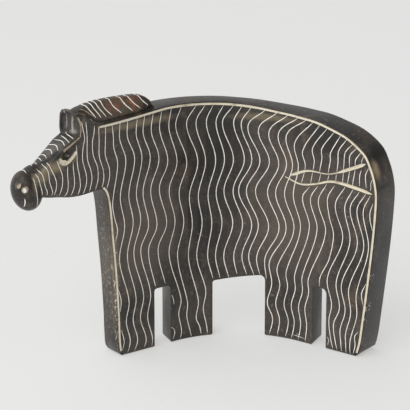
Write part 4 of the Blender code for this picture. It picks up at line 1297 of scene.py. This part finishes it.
for spot, size, depths, (none_at, full_at), strength, tint in STREAKED:
    mask = patch_at(spot, size, depths)
    share = work_out(tree, "MULTIPLY", mask, between(tree, streaks, none_at, full_at, to_high=strength))
    colour = blend(tree, share, colour, tint)
chips = between(tree, noise(tree, place, scale=750.0, detail=3.0, roughness=0.7), *CHIP_LIMITS)
for spot, size, depths, strength in CHIPPED:
    mask = patch_at(spot, size, depths, Raggedness=CHIP_RAGGEDNESS)
    share = work_out(tree, "MULTIPLY", mask, work_out(tree, "MULTIPLY", chips, strength))
    colour = blend(tree, share, colour, PALE)
steep_marks = use(tree, scratched, Turn=1.2, Amount=0.5)["Mask"]
flat_marks = use(tree, scratched, Turn=-0.35, Amount=0.4)["Mask"]
marks = work_out(tree, "MAXIMUM", steep_marks, flat_marks)
colour = blend(tree, work_out(tree, "MULTIPLY", marks, SCRATCH_STRENGTH), colour, DUSTY)
print("streaked patches:", len(STREAKED), "and chipped ones:", len(CHIPPED))

# %% The sheen of the wax
SMOOTHEST, ROUGHEST = 0.34, 0.5
feed(tree, shader["Base Color"], colour)
feed(tree, shader["Roughness"], between(tree, stone["Clouds"], 0.0, 1.0, SMOOTHEST, ROUGHEST))
feed(tree, shader["Specular IOR Level"], 0.36)
feed(tree, shader["Coat Weight"], 0.15)
feed(tree, shader["Coat Roughness"], 0.22)
height = work_out(tree, "SUBTRACT", stone["Grain"], work_out(tree, "MULTIPLY", marks, SCRATCH_DEPTH))
bump = add(tree, "ShaderNodeBump", {"Strength": 0.18, "Distance": 0.25 * MM, "Height": height})
feed(tree, shader["Normal"], bump.outputs[0])
print("nodes of the waxed stone:", len(tree.nodes))

# %% [markdown]
# ## The dry stone in the cuts
#
# Where the tool went through the wax the stone is dry and dull, and it scatters light like chalk. The
# three kinds of cut differ only in their two colours and in how much of the duller one shows, so one
# loop makes them. A scribed line is nearly white, a gouged one is creamy, a rubbed one is tan. In the
# nostril at the tip of the muzzle that tan is also painted shade.

# %% The scribed line and the gouged stone
BREAK_LIMITS, CHALKY = (0.5, 0.68), (0.75, 0.95)
DRY = (
    (scribed, (0.98, 0.95, 0.89, 1), (0.55, 0.50, 0.42, 1), 0.5),
    (gouged, (0.80, 0.74, 0.60, 1), (0.46, 0.36, 0.23, 1), 0.7),
    (tanned, (0.44, 0.36, 0.26, 1), (0.16, 0.12, 0.08, 1), 0.7),
)
for material, pale, dull, dull_share in DRY:
    tree = material.node_tree
    shader = tree.nodes["Principled BSDF"].inputs
    place = add(tree, "ShaderNodeTexCoord", {}).outputs["Object"]
    breaks = noise(tree, place, scale=220.0, detail=6.0, roughness=0.7)
    grain = noise(tree, place, scale=2500.0, detail=2.0)
    dull_places = between(tree, breaks, *BREAK_LIMITS, to_high=dull_share)
    feed(tree, shader["Base Color"], blend(tree, dull_places, pale, dull))
    feed(tree, shader["Roughness"], between(tree, grain, 0.3, 0.7, *CHALKY))
    bump = add(tree, "ShaderNodeBump", {"Strength": 0.3, "Distance": 0.1 * MM, "Height": grain})
    feed(tree, shader["Normal"], bump.outputs[0])
print("finishes on the carving:", [material.name for material in zebra.data.materials])

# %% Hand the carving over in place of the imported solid
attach(zebra, "root")
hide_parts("zebra")
print("triangles of the carving:", sum(len(face.vertices) - 2 for face in zebra.data.polygons))

# %% [markdown]
# ## Floor, light and camera
#
# The photo was taken on pale paper in a light tent, brighter at the left, with almost no shadow. Lamps
# alone would draw hard lights on the wax. So the world is the tent, and it fades from left to right. A
# large softbox in front and above gives the sheen, a small warm one stands at the left, and the paper
# glows a little, as it does where light comes through it.

# %% Floor
PAPER_HALF_SIDE = 6.0
PAPER_GLOW = 0.42
bm = bmesh.new()
bmesh.ops.create_grid(bm, x_segments=1, y_segments=1, size=PAPER_HALF_SIDE)
floor = as_object("floor", bm)
shelf.objects.unlink(floor)
bpy.context.scene.collection.objects.link(floor)
floor.hide_render = False
paper = bpy.data.materials.new("paper")
paper.use_nodes = True
tree = paper.node_tree
shader = tree.nodes["Principled BSDF"].inputs
place = add(tree, "ShaderNodeTexCoord", {}).outputs["Object"]
fibres = noise(tree, place, scale=400.0, detail=3.0)
feed(tree, shader["Base Color"], blend(tree, fibres, (0.46, 0.46, 0.455, 1), (0.49, 0.49, 0.485, 1)))
feed(tree, shader["Roughness"], 0.9)
feed(tree, shader["Emission Color"], (1.0, 1.0, 0.985, 1))
feed(tree, shader["Emission Strength"], PAPER_GLOW)
floor.data.materials.append(paper)
print("the paper is", 2 * PAPER_HALF_SIDE, "m wide")

# %% Light
TENT_LEFT, TENT_RIGHT, TENT_TURN = 0.94, 0.26, 0.9
scene = bpy.context.scene
scene.view_settings.view_transform = "Standard"
world = bpy.data.worlds.new("studio")
world.use_nodes = True
tree = world.node_tree
around = add(tree, "ShaderNodeTexCoord", {}).outputs["Generated"]
sideways = add(tree, "ShaderNodeSeparateXYZ", {"Vector": around}).outputs["X"]
backdrop = tree.nodes["Background"].inputs
feed(tree, backdrop["Color"], (1.0, 1.0, 1.0, 1))
brightness = between(tree, sideways, -TENT_TURN, TENT_TURN, to_low=TENT_LEFT, to_high=TENT_RIGHT)
feed(tree, backdrop["Strength"], brightness)
scene.world = world


def softbox(name, place, side, watts, colour):
    """A square lamp that faces the foot of the figurine."""
    data = bpy.data.lights.new(name, "AREA")
    data.shape = "SQUARE"
    data.size = side
    data.energy = watts
    data.color = colour
    lamp = bpy.data.objects.new(name, data)
    lamp.location = place
    lamp.rotation_euler = (-Vector(place)).to_track_quat("-Z", "Y").to_euler()
    scene.collection.objects.link(lamp)


softbox("front_softbox", place=(-0.35, -0.9, 1.0), side=1.1, watts=5.0, colour=(1.0, 1.0, 1.0))
softbox("left_softbox", place=(-1.2, -0.6, 0.3), side=0.5, watts=3.0, colour=(1.0, 0.97, 0.93))

# %% [markdown]
# ## Camera
#
# The camera looks down a little on the middle of the figurine, from about a metre, with a long lens.
# Its focal length isn't chosen by eye: it is worked out from how many millimetres of the figurine one
# pixel of the photo covers at that distance.

# %% Camera
VIEW_TARGET = Vector((0.0, 23.27, 56.9)) * MM
VIEW_DISTANCE = 1.1
VIEW_DOWN = radians(19.0)
PHOTO_SIDE = 410
MM_PER_PIXEL = 0.4156
SENSOR = 36.0
camera_data = bpy.data.cameras.new("camera")
camera_data.sensor_width = SENSOR
camera_data.lens = SENSOR * VIEW_DISTANCE / MM / MM_PER_PIXEL / PHOTO_SIDE
camera = bpy.data.objects.new("camera", camera_data)
camera.location = VIEW_TARGET + VIEW_DISTANCE * Vector((0, -cos(VIEW_DOWN), sin(VIEW_DOWN)))
camera.rotation_euler = (pi / 2 - VIEW_DOWN, 0, 0)
scene.collection.objects.link(camera)
scene.camera = camera
print("lens, mm:", round(camera_data.lens, 1))

# %% Put away the shelf of cutters and finish
bpy.data.collections.remove(shelf)
